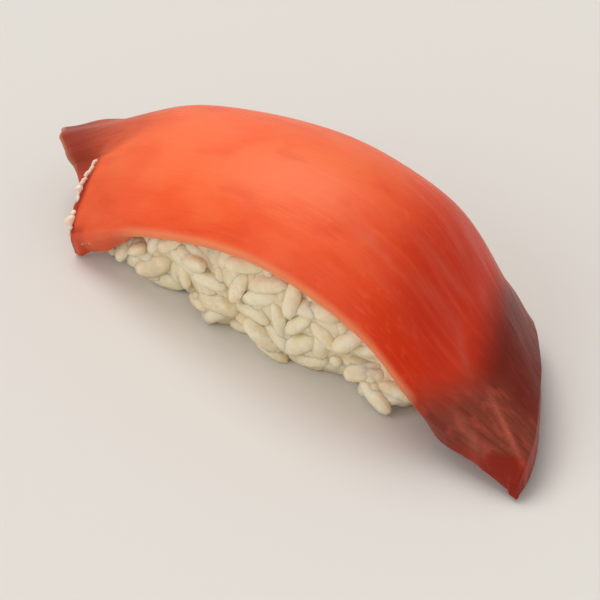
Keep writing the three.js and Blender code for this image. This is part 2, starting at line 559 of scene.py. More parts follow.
@dataclass(frozen=True)
class TunaFlesh:
    """Raw tuna: moist, a little see-through, finely grained along its muscle."""

    pale: Colour = (0.93, 0.170, 0.056)
    body: Colour = (0.88, 0.100, 0.022)
    # The flesh's own darker red, also used as painted shade towards the tip.
    deep_red_and_shade: Colour = (0.69, 0.031, 0.001)
    crimson: Colour = (0.60, 0.032, 0.009)
    # Painted glow: paler flesh along the thin front edge, where light from the rice comes through.
    edge: Colour = (0.87, 0.36, 0.165)
    # Painted shadow: dark crimson along the ledge under its tissue, and at the front-left corner.
    shadow_band: Colour = (0.34, 0.018, 0.005)
    tail: Colour = (0.47, 0.064, 0.020)
    tail_dark: Colour = (0.25, 0.022, 0.009)
    tail_rim: Colour = (0.46, 0.19, 0.10)
    mauve: Colour = (0.205, 0.042, 0.021)
    # Darker mauve, for the fibre and for painted shade on the tip's far side.
    mauve_dark: Colour = (0.145, 0.009, 0.002)
    # Painted highlight: pink blotches on the front of the tip.
    tip_pink_highlight: Colour = (0.38, 0.062, 0.036)
    facet: Colour = (0.28, 0.014, 0.004)
    end_cut: Colour = (0.46, 0.046, 0.030)
    # The pale colour of the sinew lines, also painted as the highlights on the tip's ridges and the
    # front-left corner's lip.
    sinew: Colour = (0.68, 0.155, 0.10)

    # Noises in millimetres of flesh, stretched along the muscle.
    long_fibre: Cloud = Cloud(1.3, 3.0, 0.55, 0.25, 0.055)
    fine_fibre: Cloud = Cloud(3.6, 3.0, 0.6, 0.2, 0.14)
    patches: Cloud = Cloud(0.16, 2.0, 0.5, 0.6, 0.6)
    mottle: Cloud = Cloud(0.3, 1.0, 0.45, 0.3, 0.55)
    blotches: Cloud = Cloud(0.75, 2.0, 0.5, 0.3, 0.5)
    flecks: Cloud = Cloud(0.9, 2.0, 0.6, 0.5, 0.55)
    speckle: Cloud = Cloud(2.6, 3.0, 0.6)

    # How much of a colour goes in, by a noise or by a distance in millimetres.
    # Painted light: the top of the slice is paler where it faces the lamps, in patches.
    crest_light_patches: Ramp = Ramp(0.3, 0.62, 0.35, 1.0)
    pale_mottle: Ramp = Ramp(0.5, 0.7, 0.0, 0.36)
    deep_mottle: Ramp = Ramp(0.48, 0.28, 0.0, 0.2)
    pale_flecks: Ramp = Ramp(0.5, 0.7, 0.0, 0.17)
    pale_fibre: Ramp = Ramp(0.48, 0.7, 0.0, 0.14)
    deep_fibre: Ramp = Ramp(0.55, 0.3, 0.0, 0.07)
    edge_glow: Ramp = Ramp(1.9, 0.1, 0.0, 0.78)
    sinew_breaks: Ramp = Ramp(0.3, 0.6, 0.5, 1.0)
    tail_blotches: Ramp = Ramp(0.4, 0.62, 0.0, 0.25)
    tail_border: Ramp = Ramp(-1.2, 0.7)
    blood_border: Ramp = Ramp(-6.0, 3.0, 0.0, 0.96)
    mauve_fibre: Ramp = Ramp(0.48, 0.66, 0.0, 0.55)
    pink_highlight_by_side: Ramp = Ramp(0.0, 0.8, 0.6, 0.12)
    pink_highlight_blotches: Ramp = Ramp(0.49, 0.68)
    ridge_highlight_speckle: Ramp = Ramp(0.3, 0.6, 0.25, 0.55)
    skin_roughness: Ramp = Ramp(0.3, 0.75, 0.34, 0.48)

    crimson_share: float = 0.75
    left_share: float = 0.26
    facet_share: float = 0.9
    blotch_middle: float = 0.5
    blood_raggedness: float = 3.0
    tail_raggedness: float = 0.15
    swell_bump: Bump = Bump(0.0008, 0.3)
    long_bump: Bump = Bump(0.0002, 0.4)
    fine_bump: Bump = Bump(0.00007, 0.45)

    def muscle(self, bench: NodeBench, clouds: dict[str, Socket]) -> Socket:
        """Mix the flesh of the body: its tones along and across with painted light on top and painted shade
        towards the tip, its fibre, the painted glow of its front edge and its sinew.

        Args:
            bench: The material's bench.
            clouds: The noises by name.

        Returns:
            The colour as a socket.
        """
        mottle, fine = clouds["mottle"], clouds["fine_fibre"]
        # Painted light: paler over the top of the slice, where it faces the lamps, broken into patches.
        crest_light = bench.product(bench.value("crest_light"), bench.ramped(clouds["patches"], self.crest_light_patches))
        colour = bench.mixed(crest_light, self.body, self.pale)
        colour = bench.mixed(bench.ramped(mottle, self.pale_mottle), colour, self.pale)
        colour = bench.mixed(bench.ramped(mottle, self.deep_mottle), colour, self.deep_red_and_shade)
        # Partly painted shade: darker and redder towards the tip, partly the flesh's own tone and partly
        # shade where the side turns from the light.
        colour = bench.mixed(bench.value("deep_red_and_shade"), colour, self.deep_red_and_shade)
        colour = bench.mixed(bench.ramped(clouds["flecks"], self.pale_flecks), colour, self.pale)
        crimson = bench.product(bench.value("crimson"), self.crimson_share)
        colour = bench.mixed(crimson, colour, self.crimson)
        colour = bench.mixed(bench.ramped(clouds["long_fibre"], self.pale_fibre), colour, self.pale)
        colour = bench.mixed(bench.ramped(fine, self.deep_fibre), colour, self.deep_red_and_shade)
        # Painted glow: paler along the thin front edge, where light from the rice comes through.
        colour = bench.mixed(bench.ramped(bench.value("from_front"), self.edge_glow), colour, self.edge)
        sinew = bench.product(bench.value("streak"), bench.ramped(fine, self.sinew_breaks))
        return bench.mixed(sinew, colour, self.sinew)

    def tailed(self, bench: NodeBench, clouds: dict[str, Socket], colour: Socket) -> Socket:
        """Mix in the left end: the darker tail past the ledge with its painted shade, its pale rim and the
        painted shadow along the ledge.

        Args:
            bench: The material's bench.
            clouds: The noises by name.
            colour: The flesh of the body.

        Returns:
            The colour as a socket.
        """
        tail = bench.mixed(bench.ramped(clouds["blotches"], self.tail_blotches), self.tail, self.tail_dark)
        tail = bench.mixed(bench.value("tail_shade"), tail, self.tail_dark)
        past = bench.sum(Sum.MULTIPLY_ADD, clouds["ragged"], self.tail_raggedness, bench.value("past_ledge"))
        share = bench.product(bench.ramped(past, self.tail_border), bench.value("tail_share"))
        colour = bench.mixed(bench.product(bench.value("left"), self.left_share), colour, self.tail)
        colour = bench.mixed(share, colour, tail)
        colour = bench.mixed(bench.value("tail_rim"), colour, self.tail_rim)
        # Painted shadow along the ledge under its tissue, and a dark patch at the front-left corner.
        return bench.mixed(bench.value("shadow_band"), colour, self.shadow_band)

    def tipped(self, bench: NodeBench, clouds: dict[str, Socket], colour: Socket) -> Socket:
        """Mix in the right end: the mauve flesh past the blood line with its painted shade and painted pink
        highlights, the cut tip, and its ridges painted pale as highlights.

        Args:
            bench: The material's bench.
            clouds: The noises by name.
            colour: The flesh of the body and the tail.

        Returns:
            The colour as a socket.
        """
        past = bench.sum(Sum.ADD, bench.value("past_blood"), clouds["ragged"])
        # Painted shade: the tip's far side is darker.
        mauve = bench.mixed(bench.value("far_side_shade"), self.mauve, self.mauve_dark)
        mauve = bench.mixed(bench.ramped(clouds["long_fibre"], self.mauve_fibre), mauve, self.mauve_dark)
        # Painted highlight: pink blotches on the front of the tip, fewer on its far side.
        pink = bench.ramped(bench.value("far_side_shade"), self.pink_highlight_by_side)
        pink = bench.product(pink, bench.ramped(clouds["blotches"], self.pink_highlight_blotches))
        mauve = bench.mixed(pink, mauve, self.tip_pink_highlight)
        colour = bench.mixed(bench.ramped(past, self.blood_border), colour, mauve)
        colour = bench.mixed(bench.product(bench.value("facet"), self.facet_share), colour, self.facet)
        colour = bench.mixed(bench.value("end_wall"), colour, self.end_cut)
        # Painted highlight: the tip's ridges and the front-left corner's lip are painted pale.
        ridge = bench.product(bench.value("ridge"), bench.ramped(clouds["speckle"], self.ridge_highlight_speckle))
        return bench.mixed(ridge, colour, self.sinew)

    def material(self) -> bpy.types.Material:
        """Build the flesh: muscle, tail, mauve end and cut tip under a film of moisture.

        Returns:
            The material.
        """
        bench = SurfaceBench("tuna_flesh")
        flow = bench.vector("flow")
        clouds = {
            "long_fibre": bench.clouded(flow, self.long_fibre),
            "fine_fibre": bench.clouded(flow, self.fine_fibre),
            "patches": bench.clouded(flow, self.patches),
            "mottle": bench.clouded(flow, self.mottle),
            "blotches": bench.clouded(flow, self.blotches),
            "flecks": bench.clouded(flow, self.flecks),
            "speckle": bench.clouded(flow, self.speckle),
        }
        centred = bench.sum(Sum.SUBTRACT, clouds["blotches"], self.blotch_middle)
        clouds["ragged"] = bench.product(centred, self.blood_raggedness)
        colour = self.muscle(bench, clouds)
        colour = self.tailed(bench, clouds, colour)
        colour = self.tipped(bench, clouds, colour)
        swell = bench.bumped(clouds["patches"], self.swell_bump)
        muscle = bench.bumped(clouds["long_fibre"], self.long_bump, swell)
        return bench.shade(
            Base_Color=colour,
            Roughness=bench.ramped(clouds["speckle"], self.skin_roughness),
            Normal=bench.bumped(clouds["fine_fibre"], self.fine_bump, muscle),
            IOR=1.36,
            Specular_IOR_Level=0.25,
            Subsurface_Weight=0.35,
            Subsurface_Radius=(1.0, 0.26, 0.12),
            Subsurface_Scale=0.0014,
            Coat_Weight=0.10,
            Coat_Roughness=0.18,
            Coat_IOR=1.34,
            Coat_Normal=swell,
        )


@dataclass(frozen=True)
class CookedRice:
    """Cooked, seasoned rice: warm ivory, half see-through, moist on its skin."""

    warm: Colour = (0.82, 0.67, 0.42)
    body: Colour = (0.885, 0.775, 0.53)
    white: Colour = (0.935, 0.865, 0.67)
    # Painted shade: the colour of the shaded gaps between grains.
    between: Colour = (0.82, 0.69, 0.48)
    mottle: Cloud = Cloud(900.0, 3.0, 0.6)
    patches: Cloud = Cloud(190.0, 2.0, 0.5)
    skin: Cloud = Cloud(2600.0, 3.0, 0.6)
    chalk: Ramp = Ramp(0.4, 0.7)
    white_patches: Ramp = Ramp(0.45, 0.7, 0.0, 0.4)
    skin_roughness: Ramp = Ramp(0.3, 0.7, 0.32, 0.48)
    mottle_height: float = 0.7
    bump: Bump = Bump(0.00012, 0.6)

    def material(self) -> bpy.types.Material:
        """Build the rice: a tone for each grain, a chalky belly, painted shade on the lower grains and the
        core, and a sticky shine.

        Returns:
            The material.
        """
        bench = SurfaceBench("cooked_rice")
        place = bench.place()
        mottle = bench.clouded(place, self.mottle)
        patches = bench.clouded(place, self.patches)
        skin = bench.clouded(place, self.skin)
        colour = bench.mixed(bench.value("tone"), self.warm, self.body)
        chalk = bench.product(bench.ramped(mottle, self.chalk), bench.value("belly"))
        colour = bench.mixed(chalk, colour, self.white)
        colour = bench.mixed(bench.ramped(patches, self.white_patches), colour, self.white)
        # Painted shade: the lower layer and the core are mixed towards the shaded colour between grains.
        colour = bench.mixed(bench.value("sunk"), colour, self.between)
        height = bench.sum(Sum.MULTIPLY_ADD, mottle, self.mottle_height, skin)
        return bench.shade(
            Base_Color=colour,
            Roughness=bench.ramped(mottle, self.skin_roughness),
            Normal=bench.bumped(height, self.bump),
            IOR=1.40,
            Subsurface_Weight=0.4,
            Subsurface_Radius=(1.0, 0.9, 0.75),
            Subsurface_Scale=0.0006,
            Coat_Weight=0.2,
            Coat_Roughness=0.22,
            Coat_IOR=1.34,
        )


@dataclass(frozen=True)
class SinewTissue:
    """The pale, ragged skin of tissue along the ledge."""

    pale: Colour = (0.93, 0.72, 0.58)
    pink: Colour = (0.84, 0.24, 0.13)
    patches: Cloud = Cloud(1100.0, 3.0, 0.6)
    pale_patches: Ramp = Ramp(0.3, 0.5, 0.8, 1.0)
    skin_roughness: Ramp = Ramp(0.3, 0.7, 0.28, 0.42)
    bump: Bump = Bump(0.0001, 0.6)

    def material(self) -> bpy.types.Material:
        """Build the tissue: pale where it is thick, pink where it is thin, and wet.

        Returns:
            The material.
        """
        bench = SurfaceBench("sinew_tissue")
        patches = bench.clouded(bench.place(), self.patches)
        share = bench.product(bench.value("pale"), bench.ramped(patches, self.pale_patches))
        return bench.shade(
            Base_Color=bench.mixed(share, self.pink, self.pale),
            Roughness=bench.ramped(patches, self.skin_roughness),
            Normal=bench.bumped(patches, self.bump),
            IOR=1.4,
            Subsurface_Weight=0.4,
            Subsurface_Radius=(1.0, 0.5, 0.35),
            Subsurface_Scale=0.0006,
            Coat_Weight=0.25,
            Coat_Roughness=0.2,
        )


@dataclass(frozen=True)
class PaleBoard:
    """The plain pale floor that the piece stands on."""

    colour: Colour = (0.74, 0.72, 0.69)
    darker: float = 0.97
    patches: Cloud = Cloud(9.0, 2.0, 0.5)

    def material(self) -> bpy.types.Material:
        """Build the floor: one pale tone with the faintest unevenness.

        Returns:
            The material.
        """
        bench = SurfaceBench("pale_board")
        patches = bench.clouded(bench.place(), self.patches)
        tint = tuple(self.darker * channel for channel in self.colour)
        return bench.shade(Base_Color=bench.mixed(patches, tint, self.colour), Roughness=0.75)


# ---- Forms ----


@dataclass(frozen=True)
class BedForm:
    """The bare bed of rice: a squared ellipsoid, boxier at its foot."""

    half: Place = (25.0, 10.9, 10.0)
    middle: Place = (1.2, -0.7, 6.1)
    end_squareness: float = 2.5
    foot_squareness: float = 5.0
    foot: Span = (0.02, 0.34)
    side_squareness: float = 3.0
    slope_step: float = 0.01

    def end_power(self, share: np.ndarray) -> np.ndarray:
        """Give the squareness of the ends, which grows with the slope down to the foot.

        Args:
            share: Distances from the middle over the half sizes.

        Returns:
            The squareness at each point.
        """
        steepness = -share[..., 2] / np.maximum(np.linalg.norm(share, axis=-1), TINY)
        foot = smooth(*self.foot, steepness)
        return self.end_squareness + (self.foot_squareness - self.end_squareness) * foot

    def level(self, points: np.ndarray, margin: float = 0.0) -> np.ndarray:
        """Say how far out points lie: under 1 is inside the bed, grown by a margin.

        With x, y and z the distances from the middle over the half sizes, it is
        x^e + (y^f + z^f)^(e/f), e and f the two squarenesses.

        Args:
            points: Points in the last axis.
            margin: Added to each half size.

        Returns:
            The level at each point.
        """
        share = (points - np.array(self.middle)) / (np.array(self.half) + margin)
        power = self.end_power(share)
        share = np.abs(share)
        section = share[..., 1] ** self.side_squareness + share[..., 2] ** self.side_squareness
        return share[..., 0] ** power + section ** (power / self.side_squareness)

    def surface(self, directions: np.ndarray, margin: float = 0.0) -> np.ndarray:
        """Give the surface points in directions from the middle.

        The direction is stretched by the half sizes and divided by the level's root.

        Args:
            directions: Directions in the last axis.
            margin: Added to each half size.

        Returns:
            The points.
        """
        middle = np.array(self.middle)
        spot = directions * (np.array(self.half) + margin)
        level = self.level(spot + middle, margin)
        return spot * (level ** (-1.0 / self.end_power(directions)))[..., None] + middle

    def normal(self, points: np.ndarray) -> np.ndarray:
        """Give the outward normals: the slope of the level, by differences of a small step.

        Args:
            points: Points in the last axis.

        Returns:
            The unit normals.
        """
        steps = np.eye(3) * self.slope_step
        slope = [self.level(points + step) - self.level(points - step) for step in steps]
        return unit(np.stack(slope, axis=-1))


@dataclass(frozen=True)
class SliceForm:
    """The slice's upper face, lofted across three rails, and its thickness.

    Its length and half width turn shares along and across into millimetres of flesh.
    """

    front: tuple[Place, ...] = (
        (-24.2, -12.3, 2.6),
        (-12.4, -13.0, 9.9),
        (4.3, -13.3, 15.1),
        (19.7, -13.1, 12.7),
        (29.8, -12.7, 6.0),
        (42.8, -12.3, 3.4),
    )
    ridge: tuple[Place, ...] = (
        (-29.4, -5.6, 9.6),
        (-16.2, -1.1, 17.3),
        (2.2, 0.2, 21.9),
        (18.4, 0.2, 20.0),
        (29.2, -0.4, 11.2),
        (37.6, -1.3, 5.2),
    )
    back: tuple[Place, ...] = (
        (-35.6, -1.2, 7.3),
        (-19.6, 9.0, 9.4),
        (-1.1, 12.4, 11.6),
        (13.4, 12.7, 11.0),
        (22.2, 11.6, 6.5),
        (27.6, 10.2, 3.9),
    )
    length: float = 76.0
    half_width: float = 17.0
    slope_step: float = 0.004

    # How far each section turns, in the body and at both ends.
    body_bend: float = math.radians(74)
    end_bend: float = math.radians(30)
    left_bend: Span = (0.0, 0.2)
    right_bend: Span = (0.72, 1.0)

    # The thickness in the body, at its edges, at the tip and at the tail.
    thickest: float = 7.0
    edge: float = 2.8
    end: float = 3.2
    tip_power: int = 5
    tail: float = 1.6
    tail_power: int = 3
    tail_across: Span = (-0.5, 0.4)
    thinned: float = 0.42
    thinned_at: float = 0.9
    thinned_width: float = 0.07
    thinned_across: Span = (-0.7, -1.0)

    # Where the way in turns straight down.
    straight_down: Span = (0.72, 0.9)
    corner_turn: float = 0.55
    corner_along: Span = (0.15, 0.06)
    corner_end_turn: float = 0.8
    corner_end_along: Span = (0.05, 0.01)
    corner_across: Span = (-0.6, -0.95)

    # The underside's distance from the bed and the floor, and how finely it is sought.
    gap: float = 0.25
    floor_gap: float = 0.2
    depth_steps: int = 26
    halvings: int = 12

    @staticmethod
    def rail(rail: tuple[Place, ...], along: np.ndarray) -> np.ndarray:
        """Follow a rail: a Catmull-Rom curve, each span a cubic through its two points.

        Args:
            rail: The points that it passes, evenly spaced in along.
            along: Where to ask, 0 to 1.

        Returns:
            The points on the rail.
        """
        knots = np.array(rail)
        spans = len(knots) - 1
        span = np.clip(np.floor(along * spans).astype(int), 0, spans - 1)
        w = (along * spans - span)[..., None]
        held = np.vstack([2 * knots[0] - knots[1], knots, 2 * knots[-1] - knots[-2]])
        p0, p1, p2, p3 = (held[span + k] for k in range(4))
        curve = 2 * p1 + (p2 - p0) * w
        curve = curve + (2 * p0 - 5 * p1 + 4 * p2 - p3) * w**2
        return 0.5 * (curve + (3 * p1 - p0 - 3 * p2 + p3) * w**3)

    def skin(self, along: np.ndarray, across: np.ndarray) -> np.ndarray:
        """Give points of the upper face.

        Each section is an arc that turns through the bend angle from the ridge to either
        edge: sideways it goes by the sine of the angle, and down by one minus its cosine.

        Args:
            along: 0 to 1 from the left end to the tip.
            across: -1 to 1 from the front edge to the back edge.

        Returns:
            The points.
        """
        front, ridge, back = (self.rail(r, along) for r in (self.front, self.ridge, self.back))
        held = smooth(*self.left_bend, along) * (1.0 - smooth(*self.right_bend, along))
        bend = self.end_bend + (self.body_bend - self.end_bend) * held
        angle = across * bend
        reach = (np.sin(angle) / np.sin(bend))[..., None]
        drop = (1.0 - np.cos(angle)) / (1.0 - np.cos(bend))
        spot = ridge + reach * (back - front) / 2 + reach**2 * ((back + front) / 2 - ridge)
        side = np.where(across < 0, front[..., 2], back[..., 2])
        spot[..., 2] = ridge[..., 2] - drop * (ridge[..., 2] - side)
        return spot

    def slopes(self, along: np.ndarray, across: np.ndarray) -> tuple[np.ndarray, np.ndarray]:
        """Give the unit directions along and across the upper face.

        Args:
            along: 0 to 1.
            across: -1 to 1.

        Returns:
            The two directions, by differences of a small step.
        """
        step = self.slope_step
        before, after = np.maximum(along - step, 0.0), np.minimum(along + step, 1.0)
        lengthwise = self.skin(after, across) - self.skin(before, across)
        crosswise = self.skin(along, across + step) - self.skin(along, across - step)
        return unit(lengthwise), unit(crosswise)

    def way_in(self, along: np.ndarray, across: np.ndarray) -> np.ndarray:
        """Give the way in from the upper face: square to it, and straight down near the tip.

        Towards the front corner of the left end it turns down too.

        Args:
            along: 0 to 1.
            across: -1 to 1.

        Returns:
            The unit directions.
        """
        lengthwise, crosswise = self.slopes(along, across)
        near = self.corner_turn * smooth(*self.corner_along, along)
        at_end = self.corner_end_turn * smooth(*self.corner_end_along, along)
        corner = np.maximum(near, at_end) * smooth(*self.corner_across, across)
        turned = np.maximum(smooth(*self.straight_down, along), corner)[..., None]
        inward = -unit(np.cross(lengthwise, crosswise))
        return unit(inward * (1.0 - turned) + np.array([0.0, 0.0, -1.0]) * turned)

    def free_thickness(self, along: np.ndarray, across: np.ndarray) -> np.ndarray:
        """Give the thickness where the slice lies free: a half circle across, thin at the ends.

        It goes over into the ends by powers of the distance from the middle, and the front
        edge thins out just before the tip.

        Args:
            along: 0 to 1.
            across: -1 to 1.

        Returns:
            The thickness in millimetres.
        """
        middle = np.sqrt(np.maximum(1.0 - across**2, 0.0))
        body = self.edge + (self.thickest - self.edge) * middle
        to_tip = np.maximum(2.0 * along - 1.0, 0.0) ** self.tip_power
        to_tail = np.maximum(1.0 - 2.0 * along, 0.0) ** self.tail_power
        tail = self.end + (self.tail - self.end) * smooth(*self.tail_across, across)
        thin = self.thinned * bell(along, self.thinned_at, self.thinned_width)
        thin = thin * smooth(*self.thinned_across, across)
        return (body + (self.end - body) * to_tip + (tail - body) * to_tail) * (1.0 - thin)

    def under(self, bed: BedForm, along: np.ndarray, across: np.ndarray) -> np.ndarray:
        """Give the underside: in from the upper face until it meets the bed.

        The depth goes in even steps, and the step that enters the grown bed is halved.

        Args:
            bed: The bare bed.
            along: 0 to 1.
            across: -1 to 1.

        Returns:
            The points of the underside.
        """
        skin, inward = self.skin(along, across), self.way_in(along, across)
        wanted, steps = self.free_thickness(along, across), self.depth_steps
        shares = np.arange(1, steps + 1) / steps
        probes = skin[..., None, :] + inward[..., None, :] * (wanted[..., None] * shares)[..., None]
        met = bed.level(probes, self.gap) < 1.0
        first = np.where(met.any(axis=-1), met.argmax(axis=-1), steps)
        clear, meets = wanted * first / steps, wanted * (first + 1) / steps
        for _ in range(self.halvings):
            middle = (clear + meets) / 2
            inside = bed.level(skin + inward * middle[..., None], self.gap) < 1.0
            meets, clear = np.where(inside, middle, meets), np.where(inside, clear, middle)
        depth = np.where(first == steps, wanted, clear)
        under = skin + inward * depth[..., None]
        under[..., 2] = np.maximum(under[..., 2], self.floor_gap)
        return under


# ---- The slice of tuna ----


@dataclass(frozen=True)
class Streak:
    """A pale line of sinew: its path as (along, across) points, its width and its strength."""

    path: Line
    width: float
    weight: float


@dataclass(frozen=True)
class FleshZones:
    """Where the slice's flesh changes, as the values that its relief and its finish read.

    The ledge is where the flesh steps down to the thin tail at the left, and the blood line
    is where it turns to mauve at the right.  Both are read across the slice, and the other
    lines along it.
    """

    form: SliceForm
    tip_width: float = 11.0
    ledge: Line = (
        (-1.0, 0.0),
        (-0.84, 0.0),
        (-0.66, 0.013),
        (-0.54, 0.018),
        (-0.39, 0.039),
        (-0.25, 0.05),
        (-0.13, 0.066),
        (0.0, 0.08),
        (0.1, 0.09),
        (0.4, 0.11),
        (1.0, 0.13),
    )
    blood_line: Line = (
        (-1.0, 0.785),
        (-0.9, 0.808),
        (-0.72, 0.822),
        (-0.48, 0.853),
        (-0.25, 0.848),
        (0.05, 0.822),
        (0.34, 0.803),
        (0.7, 0.81),
        (1.0, 0.84),
    )
    crimson_line: Line = ((0.5, -0.35), (0.61, -0.52), (0.66, -0.57), (0.71, -0.64), (0.8, -0.78))
    facet_line: Line = ((0.86, -1.14), (0.904, -1.0), (0.931, -0.95), (0.958, -0.86), (1.0, -0.72))
    ridge_line: Line = ((0.85, -0.44), (0.884, -0.49), (0.929, -0.59), (0.958, -0.67), (1.0, -0.8))
    front_line: Line = ((0.82, -0.74), (0.844, -0.8), (0.864, -0.83), (0.889, -0.88), (0.93, -0.98))
    streaks: tuple[Streak, ...] = (
        Streak(
            ((0.5, -0.36), (0.61, -0.41), (0.65, -0.35), (0.7, -0.285), (0.76, -0.27), (0.85, -0.48)),
            width=0.06,
            weight=0.42,
        ),
        Streak(((0.57, -0.12), (0.68, -0.09), (0.79, -0.02), (0.84, -0.06)), 0.045, 0.26),
        Streak(((0.6, 0.26), (0.72, 0.14), (0.82, 0.1)), 0.045, 0.24),
        Streak(((0.42, -0.3), (0.52, -0.5), (0.64, -0.56), (0.74, -0.58)), 0.035, 0.16),
        Streak(((0.62, 0.5), (0.75, 0.36), (0.84, 0.3)), 0.05, 0.22),
        Streak(((0.66, 0.74), (0.76, 0.66), (0.85, 0.6)), 0.05, 0.20),
        Streak(((0.2, 0.1), (0.36, -0.04), (0.52, -0.26)), 0.07, 0.12),
        Streak(((0.12, -0.3), (0.26, -0.42), (0.42, -0.62)), 0.06, 0.10),
    )

    # The body.
    # Darker and redder towards the tip: partly the flesh's tone, partly painted shade.
    deep_red_and_shade: Span = (0.41, 0.73)
    crest_light_front: Span = (-0.8, -0.35)
    crest_light_back: Span = (0.75, 0.1)
    crimson_side: Span = (-0.1, 0.16)
    crimson_along: Span = (0.52, 0.7)
    all_crimson: Span = (0.69, 0.82)
    left_end: Span = (0.28, 0.04)
    edge_ends_right: Span = (0.76, 0.84)
    edge_ends_left: Span = (0.2, 0.1)

    # The left end.
    soft_ledge: Span = (-0.3, 0.05)
    tail_side: Span = (1.2, 0.2)
    tail_end: Span = (0.13, 0.06)
    body_side: Span = (0.18, 0.32)
    end_shade: Span = (5.0, 0.8)
    end_shade_across: Span = (-0.5, -0.2)
    ledge_shade: Span = (1.6, 0.3)
    ledge_shade_across: Span = (0.0, -0.25)
    rim_starts: Span = (0.06, 0.17)
    rim_ends: Span = (1.8, 1.2)
    rim_from_left: Span = (9.0, 4.0)
    rim_past_ledge: Span = (-0.3, 0.4)
    rim_across: Span = (-0.45, -0.15)
    # The painted shadow along the ledge, on the body's side of it.
    shadow_band_middle: float = -0.75
    shadow_band_width: float = 0.5
    shadow_band_across: Span = (-0.28, -0.5)
    corner_across: Span = (-0.86, -0.95)
    corner_along: Span = (0.05, 0.02)
    lip_across: Span = (-0.93, -0.985)
    lip_along: Span = (0.11, 0.08)

    # The tip.
    # Painted shade on the tip's far side.
    far_shade_front: Span = (-0.5, -0.15)
    far_shade_back: Span = (0.95, 0.45)
    facet_side: Span = (-0.2, 0.5)
    facet_along: Span = (0.88, 0.92)
    wall: Span = (0.2, 0.7)
    front_wall: Span = (0.84, 0.9)
    end_wall: Span = (0.994, 0.998)
    ridge_width: float = 0.5
    ridge_along: Span = (0.85, 0.91)
    front_ridge_width: float = 0.6
    front_ridge_share: float = 0.6
    front_ridge_starts: Span = (0.82, 0.86)
    front_ridge_ends: Span = (0.94, 0.9)

    def sinew(self, along: np.ndarray, across: np.ndarray) -> np.ndarray:
        """Give the strength of the pale sinew lines that slant to the front.

        Each is a bell across its path, wavering and broken by noise, faded at both ends.

        Args:
            along: 0 to 1.
            across: -1 to 1.

        Returns:
            The strength at each place, 0 to 1.
        """
        total = np.zeros(along.shape)
        waver = 0.03 * noise_at(Seed.SINEW_WAVER, along * 16, across * 3)
        for number, streak in enumerate(self.streaks):
            start, end = streak.path[0][0], streak.path[-1][0]
            shown = smooth(start - 0.03, start + 0.07, along) * smooth(end + 0.01, end - 0.06, along)
            broken = 0.65 + 0.45 * noise_at(Seed.SINEW_BREAKS, along * 22, number)
            width = streak.width * (1 + 0.5 * noise_at(Seed.SINEW_WIDTH, along * 12, number))
            line = follow(streak.path, along) + waver
            total += streak.weight * broken * shown * bell(across, line, width)
        return np.clip(total, 0.0, 1.0)

    def past_ledge(self, along: np.ndarray, across: np.ndarray) -> np.ndarray:
        """Give how far a place lies on the tail's side of the ledge, in millimetres.

        Args:
            along: 0 to 1.
            across: -1 to 1.

        Returns:
            The distance, negative on the slice's own side.
        """
        wobble = 0.005 * noise_at(Seed.LEDGE_WOBBLE, across * 7, 0.0)
        return (follow(self.ledge, across) + wobble - along) * self.form.length

    def past_facet(self, along: np.ndarray, across: np.ndarray) -> np.ndarray:
        """Give how far a place lies on the tip's front facet, in millimetres."""
        return (follow(self.facet_line, along) - across) * self.tip_width

    def tip_ridges(self, along: np.ndarray, across: np.ndarray) -> np.ndarray:
        """Give the strength of the two thin ridges that run down to the tip, painted pale as their
        highlights.

        Each is a bell across its path, broken by noise.

        Args:
            along: 0 to 1.
            across: -1 to 1.

        Returns:
            The strength at each place, 0 to 1.
        """
        uneven = 0.7 + 0.4 * noise_at(Seed.TIP_RIDGES, along * 60, across * 5)
        off_ridge = (across - follow(self.ridge_line, along)) * self.tip_width
        off_front = (across - follow(self.front_line, along)) * self.tip_width
        ridge = bell(off_ridge, 0.0, self.ridge_width) * smooth(*self.ridge_along, along)
        front = self.front_ridge_share * bell(off_front, 0.0, self.front_ridge_width)
        front = front * smooth(*self.front_ridge_starts, along) * smooth(*self.front_ridge_ends, along)
        return np.clip((ridge + front) * uneven, 0.0, 1.0)

    def corner_lip(self, along: np.ndarray, across: np.ndarray) -> np.ndarray:
        """Give the share of the lip along the edge at the front-left corner, painted pale as its highlight.
        """
        return smooth(*self.lip_across, across) * smooth(*self.lip_along, along)

    def body(self, along: np.ndarray, across: np.ndarray, wave: np.ndarray) -> Values:
        """Give the values of the body: its tones with painted light on top and painted shade towards the
        tip, the painted glow of its front edge, and its sinew.

        Args:
            along: 0 to 1.
            across: -1 to 1.
            wave: Noise that stirs the borders.

        Returns:
            Shares from 0 to 1, and the distance from the front edge, which grows at both ends.
        """
        crimson = smooth(*self.crimson_side, across - follow(self.crimson_line, along) + 0.05 * wave)
        crimson = crimson * smooth(*self.crimson_along, along)
        # The painted glow along the front edge fades out towards both ends.
        faded = 6.0 * smooth(*self.edge_ends_right, along) + 0.8 * smooth(*self.edge_ends_left, along)
        # Painted light over the top of the slice, from the upper front over the ridge to the back.
        crest_light = smooth(*self.crest_light_front, across + 0.06 * wave) * smooth(*self.crest_light_back, across)
        return {
            "deep_red_and_shade": smooth(*self.deep_red_and_shade, along + 0.02 * wave),
            "crest_light": crest_light,
            "crimson": np.maximum(crimson, smooth(*self.all_crimson, along)),
            "left": smooth(*self.left_end, along),
            "from_front": (across + 1.0) * self.form.half_width + faded,
            "streak": self.sinew(along, across),
        }

